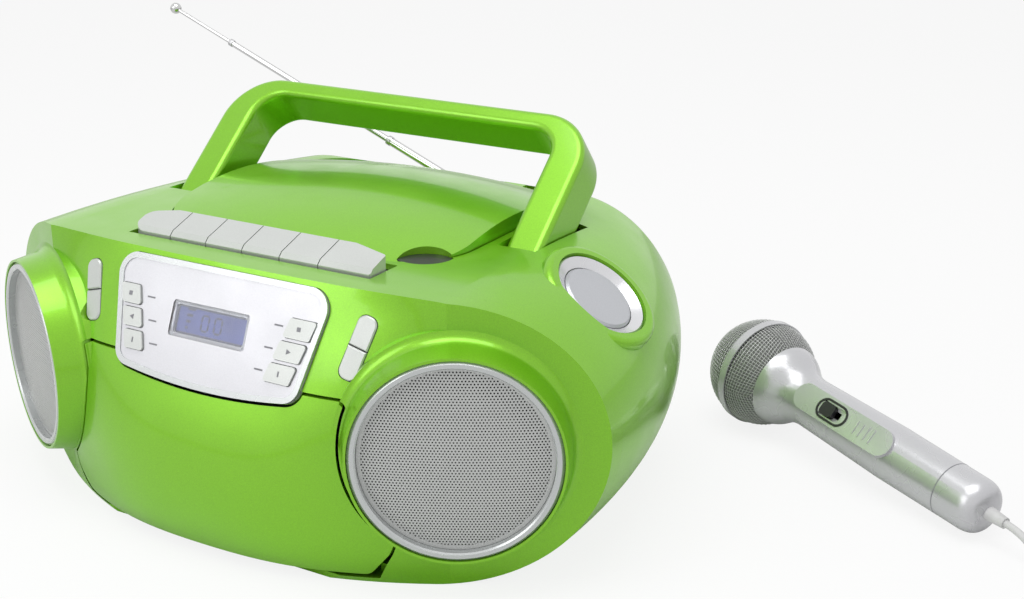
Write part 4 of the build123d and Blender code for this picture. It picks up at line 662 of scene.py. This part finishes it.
def coil_tie():
    """Soft band round the section of the coil."""
    angle = radians(TIE_ANGLE)
    out = Vector((cos(angle), sin(angle), 0))
    half_wide, tall = COIL_WIDE * CORD_R + TIE_THICK, 2 * COIL_HIGH * CORD_R + TIE_THICK
    outline, inner = [], []
    for sx, sz, start in ((1, 1, 0), (-1, 1, 90), (-1, -1, 180), (1, -1, 270)):
        for step in range(TIE_CORNER_STEPS):
            turn = radians(start + 90 * step / (TIE_CORNER_STEPS - 1))
            corner_x = sx * (half_wide - CORD_R)
            corner_z = tall - CORD_R if sz > 0 else CORD_R + TIE_THICK / 2
            outline.append((corner_x + CORD_R * cos(turn), corner_z + CORD_R * sin(turn)))
            less = CORD_R - TIE_THICK
            inner.append((corner_x + less * cos(turn), corner_z + less * sin(turn)))
    count = len(outline)
    points, faces = [], []
    for shift in (-TIE_WIDE / 2, TIE_WIDE / 2):
        points += [(u, z, shift) for u, z in outline] + [(u, z, shift) for u, z in inner]
    for i in range(count):
        j = (i + 1) % count
        a, b, c, d = i, j, count + j, count + i
        far = 2 * count
        faces += [(a, b, c, d), (far + d, far + c, far + b, far + a),
                  (b, a, far + a, far + b), (d, c, far + c, far + d)]
    at = place(Vector((*COIL_AT, 0)) + out * COIL_R, out, Vector((-out.y, out.x, 0)))
    if (at.to_3x3() @ Vector((0, 1, 0))).z < 0:
        at = at @ Matrix.Scale(-1, 4, (0, 1, 0))
    tie = make_piece("coil_tie", points, faces, black, MICROPHONE, at)
    return sharpen(tie)


# ---------------------------------------------------------------- small marks and trim

MARK_PROUD = 0.08
ARROW = ((-1.0, -1.1), (1.1, 0.0), (-1.0, 1.1))
BAR = ((-0.35, -1.1), (0.35, -1.1), (0.35, 1.1), (-0.35, 1.1))
BLOCK = ((-0.9, -0.9), (0.9, -0.9), (0.9, 0.9), (-0.9, 0.9))
BUTTON_ROWS_Y = (-17.5, -27.0, -36.4)
LEFT_BUTTON_X = -45.0
RIGHT_BUTTON_X = 43.0
BUTTON_SLANT = 0.3
LABEL_OFF = 8.5
LABEL_LONG = 4.2
LABEL_HALF_TALL = 0.35
COLLAR_PROUD = 0.3
COLLAR_SUNK = 0.1
COLLAR_LONG = 2.4
COLLAR_EDGE_IN = 0.1
COLLAR_EDGE_LONG = 0.2
COLLAR_STEPS = 32
ANTENNA_RISE = 22.2
ANTENNA_ENDS = (("lower", 2.2, 83.0), ("middle", 1.6, 192.4))
SEAM_R = 12.68
SEAM_DEEP = 1
SEAM_WIDE = 0.5
SURROUND_INSET = 2.2
SURROUND_PROUD = 0.3
RIDGE_WIDE = 0.9
RIDGE_SUNK = 0.2
RIDGE_PROUD = 0.35


def stamp(name, shape, x, y, face, turned, body, at, material):
    """Flat mark on a surface; turned mirrors it left to right."""
    sign = -1 if turned else 1
    outline = [(x + sign * u, y + v) for u, v in shape]
    if turned:
        outline.reverse()
    mark = plate(name, outline, face, face + MARK_PROUD, material, body, at)


def panel_marks():
    """Simple signs on the six slanted buttons, and a short line of print beside each."""
    at = panel_place()
    half, tall = LABEL_LONG / 2, LABEL_HALF_TALL
    line = ((-half, -tall), (half, -tall), (half, tall), (-half, tall))
    for word, first_x, slant, side in (("left", LEFT_BUTTON_X, BUTTON_SLANT, 1),
                                       ("right", RIGHT_BUTTON_X, -BUTTON_SLANT, -1)):
        for row, y in enumerate(BUTTON_ROWS_Y):
            body = f"panel_button_{word}_{row + 1}"
            x = first_x + slant * (BUTTON_ROWS_Y[0] - y)
            shape = (BLOCK, ARROW, BAR)[row]
            stamp(f"sign_{word}_{row + 1}", shape, x, y, BUTTON_FACE, side > 0, body, at, print_grey)
            start = x + side * (LABEL_OFF + half)
            stamp(f"print_{word}_{row + 1}", line, start, y, PANEL_FACE, False, CABINET, at, print_grey)


def screen_shade_edge():
    """Painted shade: dark bars under the clear window, round the lit area, standing in for the shadow on
    the recess's inner walls.
    """
    wide, tall = LCD_HALF
    for index, (x, y, half_x, half_y) in enumerate((
        (0, tall, wide, SCREEN_SHADE_WIDE), (0, -tall, wide, SCREEN_SHADE_WIDE),
        (-wide, 0, SCREEN_SHADE_WIDE, tall), (wide, 0, SCREEN_SHADE_WIDE, tall),
    )):
        outline = [(LCD_AT[0] + x + u * half_x, LCD_AT[1] + y + v * half_y)
                   for u, v in ((-1, -1), (1, -1), (1, 1), (-1, 1))]
        # Each bar is painted shade laid on the screen face.
        bar = plate(f"screen_shade_edge_{index}", outline, LCD_FACE, LCD_FACE + MARK_PROUD, screen_shade_frame,
                    CABINET, panel_place())


def antenna_collars():
    """Rounded collar at the end of each section that another one slides out of."""
    rise = radians(ANTENNA_RISE)
    base = Vector(joint("antenna_tilt")["pos_m"]) / MM
    at = place(base, (sin(rise), 0, cos(rise)), (-cos(rise), 0, sin(rise)))
    for word, radius, end in ANTENNA_ENDS:
        bore, out = radius - COLLAR_SUNK, radius + COLLAR_PROUD
        start, edge = end - COLLAR_LONG, out - COLLAR_EDGE_IN
        profile = [(bore, start), (edge, start), (out, start + COLLAR_EDGE_LONG),
                   (out, end - COLLAR_EDGE_LONG), (edge, end), (bore, end)]
        collar = lathe(f"collar_{word}", profile, steel, f"antenna_{word}", at, COLLAR_STEPS)


def stadium(at_x, length, width, steps=10):
    """Closed outline of a slot with round ends, along X."""
    r = width / 2
    points = []
    for end, start in ((length / 2 - r, -90), (-length / 2 + r, 90)):
        for step in range(steps + 1):
            turn = radians(start + 180 * step / steps)
            points.append((at_x + end + r * cos(turn), r * sin(turn)))
    return points


def mic_trim():
    """Seam near the tail, a dark surround for the switch, and ridges on the pad."""
    at = mic_place()
    seam_in, seam_end = SEAM_R - SEAM_DEEP, MIC_SEAM_AT + SEAM_WIDE
    seam_profile = [(seam_in, MIC_SEAM_AT), (SEAM_R, MIC_SEAM_AT), (SEAM_R, seam_end), (seam_in, seam_end)]
    seam = lathe("mic_tail_seam", seam_profile, print_grey, MICROPHONE, at)
    turn = at.to_3x3()
    along, out = turn @ Vector((0, 0, 1)), turn @ Vector((1, 0, 0))
    pad = place(MIC_HEAD, along, out)
    middle = MIC_SWITCH_AT + MIC_SWITCH_TRAVEL / 2
    outer = stadium(middle, SURROUND_LONG, SURROUND_WIDE)
    inner = stadium(middle, SURROUND_LONG - SURROUND_INSET, SURROUND_WIDE - SURROUND_INSET)
    count = len(outer)
    low, high = MIC_PAD_TOP - SURROUND_PROUD, MIC_PAD_TOP + SURROUND_PROUD
    points = []
    for outline, z in ((outer, low), (outer, high), (inner, high), (inner, low)):
        points += [(x, y, z) for x, y in outline]
    faces = []
    for i in range(count):
        j = (i + 1) % count
        for ring in range(4):
            a, b = ring * count, (ring + 1) % 4 * count
            faces.append((a + i, a + j, b + j, b + i))
    surround = sharpen(make_piece("mic_switch_surround", points, faces, black, MICROPHONE, pad))
    for index in range(RIDGES):
        shift = Matrix.Translation(Vector((RIDGE_FROM + index * RIDGE_STEP, 0, 0)) * MM)
        ridge = plate(f"mic_pad_ridge_{index}", stadium(0, RIDGE_LONG, RIDGE_WIDE, 6),
                      MIC_PAD_TOP - RIDGE_SUNK, MIC_PAD_TOP + RIDGE_PROUD, mic_silver, MICROPHONE,
                      pad @ shift @ Matrix.Rotation(pi / 2, 4, "Z"))


# ---------------------------------------------------------------- stage, lamps and camera

FLOOR_WIDE = 12
FLOOR_GREY = 0.86
FLOOR_CAMERA_SHARE = 0.85
ROOM_LIGHT = 0.55
BACKDROP = 1.0
LAMPS = (
    ("top_lamp", (0.1, -0.1, 1.1), (0.05, 0, 0.1), (0.9, 0.7), 6),
    ("front_lamp", (-0.5, -1.0, 0.7), (0.05, 0, 0.05), (0.7, 0.7), 3.5),
)


def floor_material():
    """Pale grey that takes the object's shadow; the camera sees most of it as white."""
    material = bpy.data.materials.new("studio_floor")
    material.use_nodes = True
    tree = material.node_tree
    tree.nodes.clear()
    out = tree.nodes.new("ShaderNodeOutputMaterial")
    diffuse = tree.nodes.new("ShaderNodeBsdfDiffuse")
    diffuse.inputs["Color"].default_value = (FLOOR_GREY, FLOOR_GREY, FLOOR_GREY, 1)
    glow = tree.nodes.new("ShaderNodeEmission")
    mix = tree.nodes.new("ShaderNodeMixShader")
    path = tree.nodes.new("ShaderNodeLightPath")
    share = tree.nodes.new("ShaderNodeMath")
    share.operation = "MULTIPLY"
    share.inputs[1].default_value = FLOOR_CAMERA_SHARE
    tree.links.new(path.outputs["Is Camera Ray"], share.inputs[0])
    tree.links.new(share.outputs["Value"], mix.inputs["Fac"])
    tree.links.new(diffuse.outputs["BSDF"], mix.inputs[1])
    tree.links.new(glow.outputs["Emission"], mix.inputs[2])
    tree.links.new(mix.outputs["Shader"], out.inputs["Surface"])
    return material


def studio():
    """Floor, and a room that is white to the camera and in reflections but lights less."""
    bpy.ops.mesh.primitive_plane_add(size=FLOOR_WIDE)
    floor = bpy.context.object
    floor.name = "studio_floor"
    floor.data.materials.append(floor_material())
    world = bpy.data.worlds.new("studio")
    bpy.context.scene.world = world
    world.use_nodes = True
    tree = world.node_tree
    sky = tree.nodes["Background"]
    path = tree.nodes.new("ShaderNodeLightPath")
    seen = tree.nodes.new("ShaderNodeMath")
    seen.operation = "MAXIMUM"
    tree.links.new(path.outputs["Is Camera Ray"], seen.inputs[0])
    both = tree.nodes.new("ShaderNodeMath")
    both.operation = "MAXIMUM"
    tree.links.new(path.outputs["Is Glossy Ray"], both.inputs[0])
    tree.links.new(path.outputs["Is Transmission Ray"], both.inputs[1])
    tree.links.new(both.outputs["Value"], seen.inputs[1])
    level = ramp(tree, seen.outputs["Value"], ROOM_LIGHT, BACKDROP, 0.0, 1.0)
    tree.links.new(level, sky.inputs["Strength"])
    sky.inputs["Color"].default_value = (1, 1, 1, 1)


def lamp(name, at, aim, size, energy):
    data = bpy.data.lights.new(name, "AREA")
    data.shape = "RECTANGLE"
    data.size, data.size_y = size
    data.energy = energy
    light = bpy.data.objects.new(name, data)
    bpy.context.scene.collection.objects.link(light)
    light.location = at
    light.rotation_euler = (Vector(aim) - Vector(at)).to_track_quat("-Z", "Y").to_euler()


def camera():
    data = bpy.data.cameras.new("camera")
    data.sensor_width = SENSOR_WIDE
    data.lens = LENS
    data.clip_start = CLIP_NEAR
    shot = bpy.data.objects.new("camera", data)
    bpy.context.scene.collection.objects.link(shot)
    shot.location = Vector(CAMERA_AT) * MM
    shot.rotation_euler = (radians(90 - CAMERA_ELEVATION), 0, radians(CAMERA_AZIMUTH))
    bpy.context.scene.camera = shot


bpy.context.scene.view_settings.view_transform = "Standard"
dress_nodes()
for side, word in ((-1, "left"), (1, "right")):
    speaker_grille(side, word)
    speaker_cone(side, word)
display()
wire_ball()
foam_ball()
panel_marks()
screen_shade_edge()
antenna_collars()
mic_trim()
cord_piece, cord_exit = mic_cord()
tie_piece = coil_tie()
studio()
for settings in LAMPS:
    lamp(*settings)
camera()
